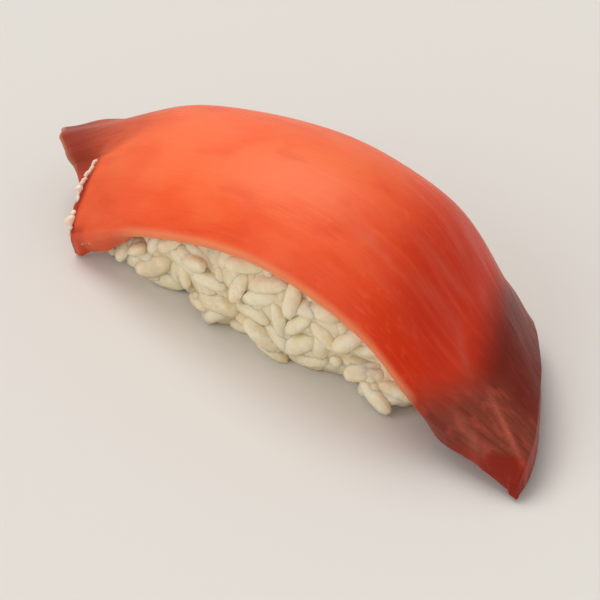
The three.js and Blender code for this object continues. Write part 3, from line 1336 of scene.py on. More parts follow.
    def tail(self, along: np.ndarray, across: np.ndarray, depth: np.ndarray, wave: np.ndarray) -> Values:
        """Give the values of the left end: its tail past the ledge with its painted shade, its rim and the
        painted shadow along the ledge.

        Args:
            along: 0 to 1.
            across: -1 to 1.
            depth: How far down from the upper face.
            wave: Noise that stirs the borders.

        Returns:
            Shares from 0 to 1, and the distance past the ledge in millimetres.
        """
        past = self.past_ledge(along, across)
        from_left = along * self.form.length
        softness = 1.0 + 6.0 * smooth(*self.soft_ledge, across)
        rim = smooth(*self.rim_starts, depth + 0.05 * wave) * smooth(*self.rim_from_left, from_left)
        rim = rim * smooth(*self.rim_ends, depth)
        on_tail = smooth(*self.rim_past_ledge, past) * smooth(*self.rim_across, across)
        at_end = 0.85 * smooth(*self.end_shade, from_left) * smooth(*self.end_shade_across, across)
        at_ledge = 0.75 * smooth(*self.ledge_shade, past) * smooth(*self.ledge_shade_across, across)
        # Painted shadow under the ledge's tissue, and a dark patch at the front-left corner, cleared on the
        # lip.
        shadow_band = bell(past + 0.25 * wave, self.shadow_band_middle, self.shadow_band_width)
        shadow_band = shadow_band * smooth(*self.shadow_band_across, across)
        corner = smooth(*self.corner_across, across) * smooth(*self.corner_along, along)
        lip = self.corner_lip(along, across)
        return {
            "past_ledge": past / softness - 40.0 * smooth(*self.body_side, along),
            "tail_share": np.maximum(smooth(*self.tail_side, across), smooth(*self.tail_end, along)),
            "tail_shade": np.maximum(at_ledge, at_end),
            "tail_rim": 0.8 * rim * on_tail,
            "shadow_band": np.clip(shadow_band + 0.7 * corner, 0.0, 1.0) * (1.0 - lip),
        }

    def tip(self, along: np.ndarray, across: np.ndarray, depth: np.ndarray, wave: np.ndarray) -> Values:
        """Give the values of the right end: its mauve flesh with its painted shade, its facet, its cuts, and
        its ridges painted pale as highlights.

        Args:
            along: 0 to 1.
            across: -1 to 1.
            depth: How far down from the upper face.
            wave: Noise that stirs the borders.

        Returns:
            Shares from 0 to 1, and the distance past the blood line in millimetres.
        """
        wall = smooth(*self.wall, depth)
        past_blood = (along - follow(self.blood_line, across) + 0.006 * wave) * self.form.length
        facet = smooth(*self.facet_side, self.past_facet(along, across)) * smooth(*self.facet_along, along)
        # Painted shade on the tip's far side, over the ridge from the front.
        far_side_shade = smooth(*self.far_shade_front, across + 0.1 * wave) * smooth(*self.far_shade_back, across)
        lip = self.corner_lip(along, across)
        return {
            "past_blood": past_blood,
            "far_side_shade": far_side_shade,
            "facet": np.maximum(facet, wall * smooth(*self.front_wall, along)),
            "end_wall": wall * smooth(*self.end_wall, along),
            # Painted highlights on the tip's ridges and the front-left corner's lip.
            "ridge": np.maximum(self.tip_ridges(along, across), 0.35 * lip),
        }

    def values(self, along: np.ndarray, across: np.ndarray, depth: np.ndarray) -> Values:
        """Give all the values that the finish reads, at places on the slice.

        Args:
            along: 0 to 1.
            across: -1 to 1.
            depth: How far down from the upper face.

        Returns:
            The named values, with the flow: distances along and across the muscle and down.
        """
        wave = noise_at(Seed.ZONE_BORDERS, along * 20, across * 3)
        length, width = along * self.form.length, across * self.form.half_width
        flow = np.stack([length, width + 0.8 * depth, depth], -1)
        return {
            **self.body(along, across, wave),
            **self.tail(along, across, depth, wave),
            **self.tip(along, across, depth, wave),
            "flow": flow,
        }


@dataclass(frozen=True)
class Rim:
    """A grid's border walk, its places on the slice, and the rim's depths and points."""

    border: np.ndarray
    along: np.ndarray
    across: np.ndarray
    depth: np.ndarray
    points: np.ndarray


@dataclass
class TunaSlice:
    """The slice as shown: its loft with uneven flesh and cut edges."""

    form: SliceForm
    bed: BedForm
    zones: FleshZones
    columns: int = 300
    rows: int = 132
    column_crowd: float = 0.55
    row_crowd: float = 0.35

    # The relief: heights and sizes in millimetres.
    swell: float = 0.22
    swell_length: float = 13.0
    swell_width: float = 8.0
    bundle: float = 0.05
    bundle_length: float = 26.0
    bundle_width: float = 2.6
    groove: float = 0.2
    ledge_drop: float = 0.7
    ledge_step: Span = (-0.15, 0.75)
    ledge_across: Span = (0.02, -0.24)
    facet_slope: float = 0.5
    facet_softness: float = 0.15
    ridge: float = 0.16
    knob: float = 0.6
    knob_at: float = 0.055
    knob_width: float = 0.03
    knob_across: Span = (0.55, 1.0)
    corner_cut: float = 0.55
    corner_cut_along: Span = (0.07, 0.0)
    corner_cut_across: Span = (0.5, 1.0)

    # The rim.
    side_round: float = 0.75
    end_round: float = 0.35
    near_end: Span = (0.012, 0.0)
    slimmer_rim: Span = (0.78, 0.88)
    most_round: float = 0.45
    arc: tuple[float, ...] = (22.0, 45.0, 67.0, 90.0)
    wall_rows: int = 5
    ragged: float = 0.13
    ragged_length: float = 1.7
    ragged_depth: float = 1.1
    flare: float = 0.15
    at_tip: Span = (0.98, 0.99)
    bulge: float = 1.85
    bulge_along: Span = (0.02, 0.0)
    bulge_across: Span = (-0.55, -0.05)
    bulge_fades: Span = (0.4, 0.95)
    end_swell: float = 0.6
    end_swell_at: float = -0.6
    end_swell_width: float = 0.4

    # The points that mark the slice's room.
    probe_columns: int = 420
    probe_rows: int = 220
    probe_layers: int = 34
    finish: TunaFlesh = field(default_factory=TunaFlesh)

    def relief(self, along: np.ndarray, across: np.ndarray) -> np.ndarray:
        """Give the height of the uneven flesh over the loft, in millimetres.

        It adds broad swells, long low muscle bundles, the grooves of the sinew lines, the
        step down to the tail, the slope of the tip's facet (a soft ramp, ln(1 + e^x)), a
        knob on the tail's back edge, and the ridges of the tip.

        Args:
            along: 0 to 1.
            across: -1 to 1.

        Returns:
            The height at each place.
        """
        u, v = along * self.form.length, across * self.form.half_width
        broad = octaves(np.stack([u / self.swell_length, v / self.swell_width], -1), Seed.FLESH_SWELL, 2)
        slanted_u, slanted_v = (u + 0.25 * v) / self.bundle_length, (v + 0.23 * u) / self.bundle_width
        bundles = noise_at(Seed.MUSCLE_BUNDLES, slanted_u, slanted_v)
        soft = 1.0 + 3.0 * smooth(*self.zones.soft_ledge, across)
        step = smooth(*self.ledge_step, self.zones.past_ledge(along, across) / soft)
        step = step * smooth(*self.ledge_across, across)
        past_facet = self.zones.past_facet(along, across)
        facet = self.facet_softness * np.logaddexp(0.0, past_facet / self.facet_softness)
        knob = bell(along, self.knob_at, self.knob_width) * smooth(*self.knob_across, across)
        lift = self.swell * broad + self.bundle * bundles - self.groove * self.zones.sinew(along, across)
        lift = lift - self.ledge_drop * step - self.facet_slope * facet + self.knob * knob
        return lift + self.ridge * self.zones.tip_ridges(along, across)

    def faces(self, along: np.ndarray, across: np.ndarray) -> tuple[np.ndarray, np.ndarray]:
        """Give the upper and the lower face, both drawn in at the tail's cut corner.

        Args:
            along: 0 to 1 on the grid.
            across: -1 to 1 on the grid.

        Returns:
            The loft moved out by its relief, and the underside.
        """
        lengthwise, crosswise = self.form.slopes(along, across)
        relief = unit(np.cross(lengthwise, crosswise)) * self.relief(along, across)[..., None]
        cut = self.corner_cut * smooth(*self.corner_cut_along, along)
        cut = cut * smooth(*self.corner_cut_across, across)
        drawn_in = (lengthwise - crosswise) * cut[..., None] * math.sqrt(0.5)
        upper = self.form.skin(along, across) + relief + drawn_in
        return upper, self.form.under(self.bed, along, across) + drawn_in

    def rounding(self, along: np.ndarray, thick: np.ndarray) -> np.ndarray:
        """Give the radius of the rim's two arcs, smaller at the ends and where it is thin.

        Args:
            along: 0 to 1 along the border walk.
            thick: The thickness there.

        Returns:
            The radius at each place of the walk.
        """
        from_end = np.minimum(along - along.min(), along.max() - along)
        at_end = smooth(*self.near_end, from_end)
        radius = self.side_round + (self.end_round - self.side_round) * at_end
        radius = radius * (1.0 - 0.5 * smooth(*self.slimmer_rim, along))
        return np.minimum(radius, self.most_round * thick)

    def bulging(self, along: np.ndarray, across: np.ndarray) -> np.ndarray:
        """Give how far the rim bulges at the tail's end, and swells at the tip.

        Args:
            along: 0 to 1 along the border walk.
            across: -1 to 1 along the border walk.

        Returns:
            The distance outwards, in millimetres.
        """
        bulge = self.bulge * smooth(*self.bulge_along, along) * smooth(*self.bulge_across, across)
        bulge = bulge * (1.0 - 0.75 * smooth(*self.bulge_fades, across))
        tip = smooth(*self.at_tip, along) * bell(across, self.end_swell_at, self.end_swell_width)
        return bulge + self.end_swell * tip

    def rim(self, along: np.ndarray, across: np.ndarray, upper: np.ndarray, lower: np.ndarray) -> Rim:
        """Round the slice's border: a profile carried along it from the upper to the lower face.

        The profile is a quarter arc, a straight wall and a quarter arc, pushed outwards by
        the arc's sine, by ragged noise, by the bulges of both ends and by the tip's flare.

        Args:
            along: 0 to 1 on the grid.
            across: -1 to 1 on the grid.
            upper: The upper face's points on the grid.
            lower: The lower face's points on the grid.

        Returns:
            The border walk with the rim's points.
        """
        lengthwise, crosswise = self.form.slopes(along, across)
        index = np.arange(along.size).reshape(along.shape)
        border = np.concatenate([index[:-1, 0], index[-1, :-1], index[:0:-1, -1], index[0, :0:-1]])
        outward = np.zeros((*along.shape, 3))
        outward[0] -= lengthwise[0]
        outward[-1] += lengthwise[-1]
        outward[:, 0] -= crosswise[:, 0]
        outward[:, -1] += crosswise[:, -1]
        out = outward.reshape(-1, 3)[border][:, None]
        top, bottom = upper.reshape(-1, 3)[border], lower.reshape(-1, 3)[border]
        s_at, b_at = along.ravel()[border], across.ravel()[border]
        thick = np.linalg.norm(bottom - top, axis=-1)
        radius = self.rounding(s_at, thick)[:, None]

        arc = np.radians(self.arc)
        shares = np.linspace(0.0, 1.0, self.wall_rows + 2)[1:-1]
        upper_arc = radius * (1.0 - np.cos(arc))
        wall = radius + (thick[:, None] - 2.0 * radius) * shares
        lower_arc = (thick[:, None] - upper_arc)[:, ::-1]
        depth = np.concatenate([upper_arc, wall, lower_arc], axis=1)
        aside = np.concatenate([np.sin(arc), np.ones(self.wall_rows), np.sin(arc)[::-1]])
        share = depth / thick[:, None]

        walk = np.cumsum(np.linalg.norm(np.diff(top, axis=0, append=top[:1]), axis=-1))[:, None]
        place = np.broadcast_arrays(walk / self.ragged_length, depth / self.ragged_depth)
        ragged = self.ragged * octaves(np.stack(place, -1), Seed.CUT_EDGE, 3)
        flare = self.flare * smooth(*self.at_tip, s_at)[:, None] * share
        push = (radius + ragged + flare + self.bulging(s_at, b_at)[:, None]) * aside
        points = top[:, None] + (bottom - top)[:, None] * share[..., None] + out * push[..., None]
        points[..., 2] = np.maximum(points[..., 2], self.form.floor_gap)
        return Rim(border, s_at, b_at, depth, points)

    def shell(self) -> Shell:
        """Build the slice: an upper and a lower grid joined by the rim.

        Returns:
            The closed shell, with the values that the finish reads.
        """
        end_inset = self.end_round / self.form.length
        side_inset = self.side_round / self.form.half_width
        s_lines = crowded(self.columns, end_inset, 1.0 - end_inset, self.column_crowd)
        b_lines = crowded(self.rows, side_inset - 1.0, 1.0 - side_inset, self.row_crowd)
        along, across = cross_grid(s_lines, b_lines)
        upper, lower = self.faces(along, across)
        rim = self.rim(along, across, upper, lower)

        count = along.size
        index = np.arange(count).reshape(along.shape)
        rings = 2 * count + np.arange(rim.depth.size).reshape(rim.depth.shape)
        ladder = np.concatenate([rim.border[:, None], rings, (rim.border + count)[:, None]], axis=1)
        ladder = np.concatenate([ladder, ladder[:1]], axis=0)
        quads = [grid_quads(index), grid_quads(index + count)[:, ::-1], grid_quads(ladder)[:, ::-1]]
        points = [upper.reshape(-1, 3), lower.reshape(-1, 3), rim.points.reshape(-1, 3)]

        rim_s = np.broadcast_to(rim.along[:, None], rim.depth.shape).ravel()
        rim_b = np.broadcast_to(rim.across[:, None], rim.depth.shape).ravel()
        all_s = np.concatenate([along.ravel(), along.ravel(), rim_s])
        all_b = np.concatenate([across.ravel(), across.ravel(), rim_b])
        thick = np.linalg.norm(upper - lower, axis=-1).ravel()
        depths = np.concatenate([np.zeros(count), thick, rim.depth.ravel()])
        values = self.zones.values(all_s, all_b, depths)
        return Shell(np.concatenate(points), np.concatenate(quads), values=values)

    def room(self, spare: float) -> Room:
        """Mark the room that the slice takes, on a lattice of small cells.

        Points are spread through the slice's thickness, and each marks its cell.

        Args:
            spare: How much further than the underside is marked, in millimetres.

        Returns:
            The marked lattice.
        """
        s_lines = np.linspace(0.0, 1.0, self.probe_columns)
        along, across = cross_grid(s_lines, np.linspace(-1.0, 1.0, self.probe_rows))
        skin = self.form.skin(along, across)
        under = self.form.under(self.bed, along, across) + self.form.way_in(along, across) * spare
        room = Room()
        for share in np.linspace(0.0, 1.0, self.probe_layers):
            room.mark(skin + (under - skin) * share)
        return room

    def build(self, shift: np.ndarray) -> bpy.types.Object:
        """Make the piece, in the place of the plain slice.

        Args:
            shift: From the drawing frame to the row frame.

        Returns:
            The piece.
        """
        piece = self.shell().piece("tuna_slice", shift, self.finish.material())
        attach(piece, "root")
        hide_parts("tuna")
        return piece


@dataclass
class SinewLip:
    """A ragged thread of pale tissue along the ledge at the left end, with beads.

    Its path is a line of (along, across) points, whose first spans are a fleshy lip round
    the front corner.  Each bead is given by its place across and its size.
    """

    form: SliceForm
    around: int = 9
    steps: int = 300
    lip_spans: int = 2
    path: Line = (
        (0.1, -1.0),
        (0.03, -1.0),
        (0.0, -0.99),
        (0.0, -0.84),
        (0.007, -0.76),
        (0.013, -0.66),
        (0.018, -0.545),
        (0.037, -0.39),
        (0.05, -0.245),
    )
    beads: Line = ((-0.9, 0.46), (-0.84, 0.82), (-0.78, 0.46), (-0.56, 0.6), (-0.51, 0.45), (-0.41, 0.42))
    thread: float = 0.25
    thread_jags: float = 0.45
    thin_at: float = -0.71
    thin_width: float = 0.05
    thick_from: Span = (-0.62, -0.52)
    lip: float = 0.55
    lip_jags: float = 0.8
    first_taper: float = 1.5
    last_taper: float = 1.4
    outwards: float = 0.12
    out_jag: float = 0.16
    jag_length: float = 0.7
    sunk: float = 0.05
    lip_sunk: float = 0.9
    half_turn: float = 0.6
    pale_radius: Span = (0.1, 0.24)
    finish: SinewTissue = field(default_factory=SinewTissue)

    def radii(self, gone: np.ndarray, across: np.ndarray, corner: float) -> np.ndarray:
        """Give the thread's radius along its path: a fleshy lip, then a thin thread with beads.

        A bead is a ball: its radius is the root of its size squared less the distance squared.

        Args:
            gone: The distance along the path of each step.
            across: The place across of each step.
            corner: The distance along the path where the lip ends.

        Returns:
            The radius at each step, nothing at both tips.
        """
        lip = self.lip * (0.8 + 0.3 * noise_at(Seed.CORNER_LIP, gone / self.lip_jags))
        thread = self.thread * (0.85 + 0.45 * noise_at(Seed.THREAD_WIDTH, gone / self.thread_jags))
        thinned = 0.45 * bell(across, self.thin_at, self.thin_width)
        thread = thread * (1.0 - thinned + 0.5 * smooth(*self.thick_from, across))
        radius = thread + (lip - thread) * smooth(corner + 0.4, corner - 0.8, gone)
        past_lip = gone > corner
        for at, size in self.beads:
            middle = gone[past_lip][np.argmin(np.abs(across[past_lip] - at))]
            radius = np.maximum(radius, np.sqrt(np.maximum(size**2 - (gone - middle) ** 2, 0.0)))
        left = gone[-1] - gone
        taper = np.minimum(gone / self.first_taper, left / self.last_taper)
        return radius * np.sqrt(np.clip(taper, 0.0, 1.0))

    def shell(self) -> Shell:
        """Build the thread: a circle of changing radius carried along its path.

        Returns:
            The closed shell, with how pale it is.
        """
        knots = np.array(self.path)
        spans = np.hypot(*(np.diff(knots, axis=0) * [self.form.length, self.form.half_width]).T)
        walk = np.concatenate([[0.0], np.cumsum(spans)])
        corner = walk[self.lip_spans]
        gone = np.linspace(0.0, walk[-1], self.steps)
        along, across = np.interp(gone, walk, knots[:, 0]), np.interp(gone, walk, knots[:, 1])
        lengthwise, crosswise = self.form.slopes(along, across)
        normal = unit(np.cross(lengthwise, crosswise))
        on_edge = smooth(corner + self.half_turn, corner - self.half_turn, gone)[:, None]
        out = unit(-crosswise * on_edge - lengthwise * (1.0 - on_edge))
        jag = noise_at(Seed.LIP_JAGS, gone / self.jag_length)[:, None]
        middle = self.form.skin(along, across) + out * (self.outwards + self.out_jag * jag)
        middle = middle - normal * self.sunk - normal * (self.lip_sunk * on_edge)
        radius = self.radii(gone, across, corner)
        angle = np.linspace(0.0, 2.0 * np.pi, self.around, endpoint=False)[None, :, None]
        ring = np.cos(angle) * out[:, None] + np.sin(angle) * normal[:, None]
        points = middle[:, None] + ring * radius[:, None, None]
        pale = smooth(*self.pale_radius, radius) * smooth(corner - 0.5, corner + 1.5, gone)
        shell = closed_tube(points[1:-1], middle[0], middle[-1])
        shell.values = {"pale": np.concatenate([np.repeat(pale[1:-1], self.around), [0.0, 0.0]])}
        return shell

    def build(self, shift: np.ndarray) -> bpy.types.Object:
        """Make the piece on the slice.

        Args:
            shift: From the drawing frame to the row frame.

        Returns:
            The piece.
        """
        piece = self.shell().piece("sinew_lip", shift, self.finish.material())
        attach(piece, "root")
        return piece


# ---- The bed of rice ----


@dataclass(frozen=True)
class GrainShape:
    """The kinds of grain, each about a box of 2 x 2 x 2, as rings of points and two tips.

    The spaces are those between the tips and the rings.  The taper, the bend, the crook and
    the notch are the most that a kind can have.
    """

    kinds: int = 16
    around: int = 9
    spaces: int = 7
    bluntness: float = 2.9
    taper: float = 0.14
    bend: float = 0.2
    crook: float = 0.1
    notch: float = 0.22
    notch_at: float = 0.75
    notch_length: float = 0.22
    notch_breadth: float = 0.7
    flatness: float = 0.07
    facets: float = 0.05
    seed: int = 5

    def draw(self, rng: np.random.Generator) -> np.ndarray:
        """Build one kind: a plump spindle with blunt ends.

        At x its radius is the square root of 1 - |x|^2.9, a little fuller at one end and
        over two and three sides, bent a little, with a notch for the germ.

        Args:
            rng: The random numbers.

        Returns:
            The rings' points in order, then the two tips.
        """
        taper, bend = rng.uniform(-self.taper, self.taper), rng.uniform(-self.bend, self.bend)
        crook, notch = rng.uniform(-self.crook, self.crook), rng.uniform(0.0, self.notch)
        facing = rng.uniform(0, 2 * np.pi)
        x = -np.cos(np.linspace(0, np.pi, self.spaces + 1)[1:-1])[:, None]
        angle = np.linspace(0, 2 * np.pi, self.around, endpoint=False)[None]
        radius = np.sqrt(1 - np.abs(x) ** self.bluntness) * (1 + taper * x)
        germ = bell(x, self.notch_at, self.notch_length)
        germ = notch * germ * bell(np.cos(angle - facing), 1.0, self.notch_breadth)
        flat = 1 + self.flatness * np.cos(2 * (angle - facing))
        flat = flat + self.facets * np.cos(3 * angle + facing + 2 * x)
        ring = radius * (1 - germ) * flat
        y = ring * np.cos(angle) + bend * (x**2 - 0.4)
        z = ring * np.sin(angle) + crook * (x**2 - 0.4)
        rings = np.stack(np.broadcast_arrays(x, y, z), -1).reshape(-1, 3)
        tips = np.array([[-1.0, 0.6 * bend, 0.6 * crook], [1.0, 0.6 * bend, 0.6 * crook]])
        return np.concatenate([rings, tips])

    def points(self) -> np.ndarray:
        """Build all the kinds: points by kind and by place on the grain."""
        rng = np.random.default_rng(self.seed)
        return np.stack([self.draw(rng) for _ in range(self.kinds)])

    def skin(self) -> Shell:
        """Give one grain's faces, with its points left at nothing."""
        return closed_tube(np.zeros((self.spaces - 1, self.around, 3)), np.zeros(3), np.zeros(3))


@dataclass(frozen=True)
class GrainLayer:
    """A layer of grains: its seed, spacing, range of lift, usual tilt, and how shaded it is."""

    seed: int
    spacing: float
    lift: Span
    tilt: float
    shade: float


@dataclass(frozen=True)
class GrainFit:
    """A way to set a grain: its lift and tilt, and the shares of its length and thickness."""

    lift: float
    tilt: float
    length: float = 1.0
    thickness: float = 1.0


@dataclass(frozen=True)
class Draft:
    """The random numbers of one grain: how it lies, its size, its slimness, its tone and kind."""

    heading: float
    fit: GrainFit
    size: float
    slim: float
    roll: float
    tone: float
    kind: int


@dataclass(frozen=True)
class Grain:
    """One placed grain: its middle, three axes, half sizes, kind, tone and shade."""

    middle: np.ndarray
    axes: np.ndarray
    sizes: np.ndarray
    kind: int
    tone: float
    shade: float


@dataclass
class RiceBed:
    """The bed as shown: real grains pressed into each other over a knobbly core.

    The lumps are where the foot's front bulges or is pinched in: x, height and half width.
    The retries are for a grain that would cross the slice.
    """

    form: BedForm
    slice: TunaSlice
    shape: GrainShape = field(default_factory=GrainShape)
    length: float = 5.1
    width: float = 2.3
    thickness: float = 1.75
    spread: float = 0.16
    slimness: Span = (0.92, 1.06)
    roll: float = 0.6
    reach: float = 1.4
    tries: int = 24000
    headings: int = 6
    layers: tuple[GrainLayer, ...] = (
        GrainLayer(seed=7, spacing=1.55, lift=(-0.85, -0.55), tilt=0.15, shade=0.1),
        GrainLayer(seed=20, spacing=1.65, lift=(-0.5, -0.05), tilt=0.22, shade=0.0),
    )
    retries: tuple[GrainFit, ...] = (
        GrainFit(lift=-0.55, tilt=0.0, length=1.0, thickness=0.8),
        GrainFit(lift=-0.6, tilt=0.0, length=0.8, thickness=0.6),
        GrainFit(lift=-1.0, tilt=0.0, length=0.8, thickness=0.8),
    )

    # A place is looked at over a ring of points above it, and a grain keeps a spare distance.
    spare: float = 0.12
    look_round: float = 4.5
    look_above: float = 1.3
    look_points: int = 9
    askew: Place = (0.31, 0.12, 0.94)
    settled: float = 0.7

    # The foot's front.
    tuck: float = 1.1
    lumps: tuple[Place, ...] = (
        (-10.0, -1.8, 2.2),
        (-3.4, 1.15, 2.3),
        (0.2, -0.6, 1.2),
        (5.4, 1.5, 2.0),
        (15.5, -1.1, 2.6),
        (21.8, 1.1, 2.4),
    )
    foot_up: Span = (9.0, 2.0)
    foot_front: Span = (-3.0, -8.0)

    # The core.
    core_rings: int = 90
    core_around: int = 120
    sink: float = 0.35
    bumps: float = 0.3
    bump_size: float = 2.2
    knobs: float = 0.2
    knob_size: float = 1.3
    finish: CookedRice = field(default_factory=CookedRice)
    kinds: np.ndarray = field(init=False)
    room: Room = field(init=False)

    def __post_init__(self) -> None:
        """Work out the kinds of grain, and the room that the slice takes."""
        self.kinds = self.shape.points()
        self.room = self.slice.room(self.spare)

    def heave(self, points: np.ndarray) -> np.ndarray:
        """Give how far the bed's front bulges near its foot.

        It is the sum of the lumps' bells along x, less the tuck all along the foot, fading
        out up the side and round the ends.

        Args:
            points: Points in the last axis.

        Returns:
            The distance outwards, in millimetres.
        """
        total = sum(size * bell(points[..., 0], at, width) for at, size, width in self.lumps)
        low, forward = smooth(*self.foot_up, points[..., 2]), smooth(*self.foot_front, points[..., 1])
        return (total - self.tuck) * low * forward

    def spots(self, rng: np.random.Generator) -> np.ndarray:
        """Draw places on the bed that the slice doesn't cover all round.

        Args:
            rng: The layer's random numbers.

        Returns:
            For each place the spot and its frame, as four rows: spot, two sides and normal.
        """
        spots = self.form.surface(unit(rng.uniform(-1, 1, (self.tries, 3))))
        normals = self.form.normal(spots)
        first = unit(np.cross(normals, self.askew))
        frames = np.stack([first, np.cross(normals, first), normals], axis=1)
        turn = np.linspace(0, 2 * np.pi, self.look_points)
        above = np.full(self.look_points, self.look_above)
        ring = np.stack([self.look_round * np.cos(turn), self.look_round * np.sin(turn), above], axis=-1)
        covered = self.room.holds(spots[:, None] + ring @ frames).all(axis=-1)
        open_to_view = (spots[:, 2] > 0) & ~covered
        return np.concatenate([spots[:, None], frames], axis=1)[open_to_view]

    def draft(self, layer: GrainLayer, rng: np.random.Generator) -> Draft:
        """Draw one grain's random numbers, in this order.

        Args:
            layer: The layer's lift and tilt.
            rng: The layer's random numbers.

        Returns:
            The draft.
        """
        heading, tilt, lift = rng.uniform(0, np.pi), rng.normal(0, layer.tilt), rng.uniform(*layer.lift)
        return Draft(
            heading=heading,
            fit=GrainFit(lift, tilt),
            size=rng.uniform(1 - self.spread, 1 + self.spread),
            slim=rng.uniform(*self.slimness),
            roll=rng.uniform(-self.roll, self.roll),
            tone=rng.uniform(0, 1),
            kind=int(rng.integers(self.shape.kinds)),
        )

    def fitted(
        self, draft: Draft, spot: np.ndarray, flat: np.ndarray, normal: np.ndarray, shade: float
    ) -> Grain | None:
        """Set a grain on its spot, and flatter, lower and shorter if it would cross the slice.

        Args:
            draft: The grain's random numbers.
            spot: Its place on the bed.
            flat: The direction it lies in, along the bed's surface.
            normal: The bed's normal there.
            shade: How shaded its layer is.

        Returns:
            The grain, or None if it crosses the slice in every fit.
        """
        for fit in (draft.fit, *self.retries):
            long = np.cos(fit.tilt) * flat + np.sin(fit.tilt) * normal
            side = unit(np.cross(normal, long))
            wide = np.cos(draft.roll) * side + np.sin(draft.roll) * np.cross(long, side)
            axes = np.stack([long, wide, np.cross(long, wide)])
            thickness = self.thickness * fit.thickness
            sizes = np.array([self.length * fit.length, self.width * draft.slim, thickness])
            sizes = sizes * draft.size / 2
            middle = spot + (min(fit.lift, draft.fit.lift) + self.heave(spot)) * normal
            points = middle + (self.kinds[draft.kind] * sizes) @ axes
            if not self.room.holds(points).any():
                middle[2] -= self.settled * min(points[:, 2].min(), 0.0)
                return Grain(middle, axes, sizes, draft.kind, draft.tone, shade)
        return None

    def lay(self, layer: GrainLayer) -> list[Grain]:
        """Lay one layer of grains evenly over the bed, clear of the slice.

        Each grain is held by three points on its axis, and those of two grains keep a spacing
        apart, in the first of several headings that allows it.

        Args:
            layer: The layer's spacing and depth.

        Returns:
            The placed grains.
        """
        rng = np.random.default_rng(layer.seed)
        taken, grains = np.full((1, 3), 1e3), []
        turns = np.arange(self.headings) * np.pi / self.headings
        along = self.reach * np.array([-1.0, 0.0, 1.0])[:, None]
        for spot, *frame in self.spots(rng):
            draft = self.draft(layer, rng)
            angles = draft.heading + turns
            flats = np.stack([np.cos(angles), np.sin(angles), np.zeros_like(angles)], -1)
            flats = flats @ np.array(frame)
            held = spot + along * flats[:, None]
            gaps = np.linalg.norm(held[:, :, None] - taken, axis=-1).min(axis=(1, 2))
            if gaps.max() < layer.spacing:
                continue
            chosen = int(np.argmax(gaps >= layer.spacing))
            grain = self.fitted(draft, spot, flats[chosen], frame[2], layer.shade)
            if grain is not None:
                taken = np.vstack([taken, held[chosen]])
                grains.append(grain)
        LOG.info("rice grains of seed %d: %d", layer.seed, len(grains))
        return grains

    def grain_shell(self) -> Shell:
        """Build all grains as one shell: each kind scaled, turned and moved in one product.

        Returns:
            The closed grains, with their tone, their shade and where their bellies are.
        """
        grains = [grain for layer in self.layers for grain in self.lay(layer)]
        unit_points = self.kinds[[grain.kind for grain in grains]]
        local = unit_points * np.stack([grain.sizes for grain in grains])[:, None]
        points = np.einsum("gvi,gij->gvj", local, np.stack([grain.axes for grain in grains]))
        points = points + np.stack([grain.middle for grain in grains])[:, None]
        points[..., 2] = np.maximum(points[..., 2], 0.0)
        each = points.shape[1]
        one = self.shape.skin()
        steps = (np.arange(len(grains)) * each)[:, None, None]
        quads, triangles = (one.quads + steps).reshape(-1, 4), (one.triangles + steps).reshape(-1, 3)
        values = {
            "tone": np.repeat([grain.tone for grain in grains], each),
            # The painted shade of each grain's layer.
            "sunk": np.repeat([grain.shade for grain in grains], each),
            "belly": (1.0 - 0.75 * unit_points[..., 0] ** 2).ravel(),
        }
        return Shell(points.reshape(-1, 3), quads, triangles, values)

    def core_shell(self) -> Shell:
        """Build the core: the bed's form sunk under the grains, with bumps of their size.

        It is a ball of rings from end to end, each point set on the sunk form and moved by
        noise, and cut flat on the floor.

        Returns:
            The closed core, of one tone all over, partly in painted shade.
        """
        lean = np.linspace(-np.pi / 2, np.pi / 2, self.core_rings + 1)[1:-1, None]
        angle = np.linspace(0, 2 * np.pi, self.core_around, endpoint=False)[None]
        parts = (np.sin(lean), np.cos(lean) * np.cos(angle), np.cos(lean) * np.sin(angle))
        direction = np.stack(np.broadcast_arrays(*parts), -1).reshape(-1, 3)
        direction = np.concatenate([direction, [[-1.0, 0.0, 0.0], [1.0, 0.0, 0.0]]])
        points = self.form.surface(direction, -self.sink)
        moved = noise(points / self.bump_size, Seed.CORE_BUMPS) * self.bumps
        moved = moved + noise(points / self.knob_size, Seed.CORE_KNOBS) * self.knobs
        points = points + self.form.normal(points) * (moved + self.heave(points))[:, None]
        points[:, 2] = np.maximum(points[:, 2], 0.0)
        rings = points[:-2].reshape(self.core_rings - 1, self.core_around, 3)
        shell = closed_tube(rings, points[-2], points[-1])
        # The core is painted a quarter of the way into shade.
        values = {"tone": 0.5, "sunk": 0.25, "belly": 0.3}
        shell.values = {name: np.full(len(points), value) for name, value in values.items()}
        return shell

    def build(self, shift: np.ndarray) -> list[bpy.types.Object]:
        """Make the core and the grains, in the place of the plain rice.

        Args:
            shift: From the drawing frame to the row frame.

        Returns:
            The two pieces.
        """
        material = self.finish.material()
        core = self.core_shell().piece("rice_core", shift, material)
        grains = self.grain_shell().piece("rice_grains", shift, material)
        for piece in (core, grains):
            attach(piece, "root")
            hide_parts("rice")
        return [core, grains]


# ---- The studio ----


@dataclass(frozen=True)
class SoftSun:
    """A wide soft light from far off, so that it lights the whole floor alike."""

    name: str
    towards: Place
    spread: float
    strength: float
    colour: Colour

    def build(self) -> None:
        """Hang the light in its direction from the piece, as wide as its spread in degrees."""
        light = bpy.data.lights.new(self.name, "SUN")
        light.angle = math.radians(self.spread)
        light.energy = self.strength
        light.color = self.colour
        lamp = bpy.data.objects.new(self.name, light)
        lamp.rotation_euler = Vector(self.towards).to_track_quat("Z", "Y").to_euler()
        bpy.context.scene.collection.objects.link(lamp)


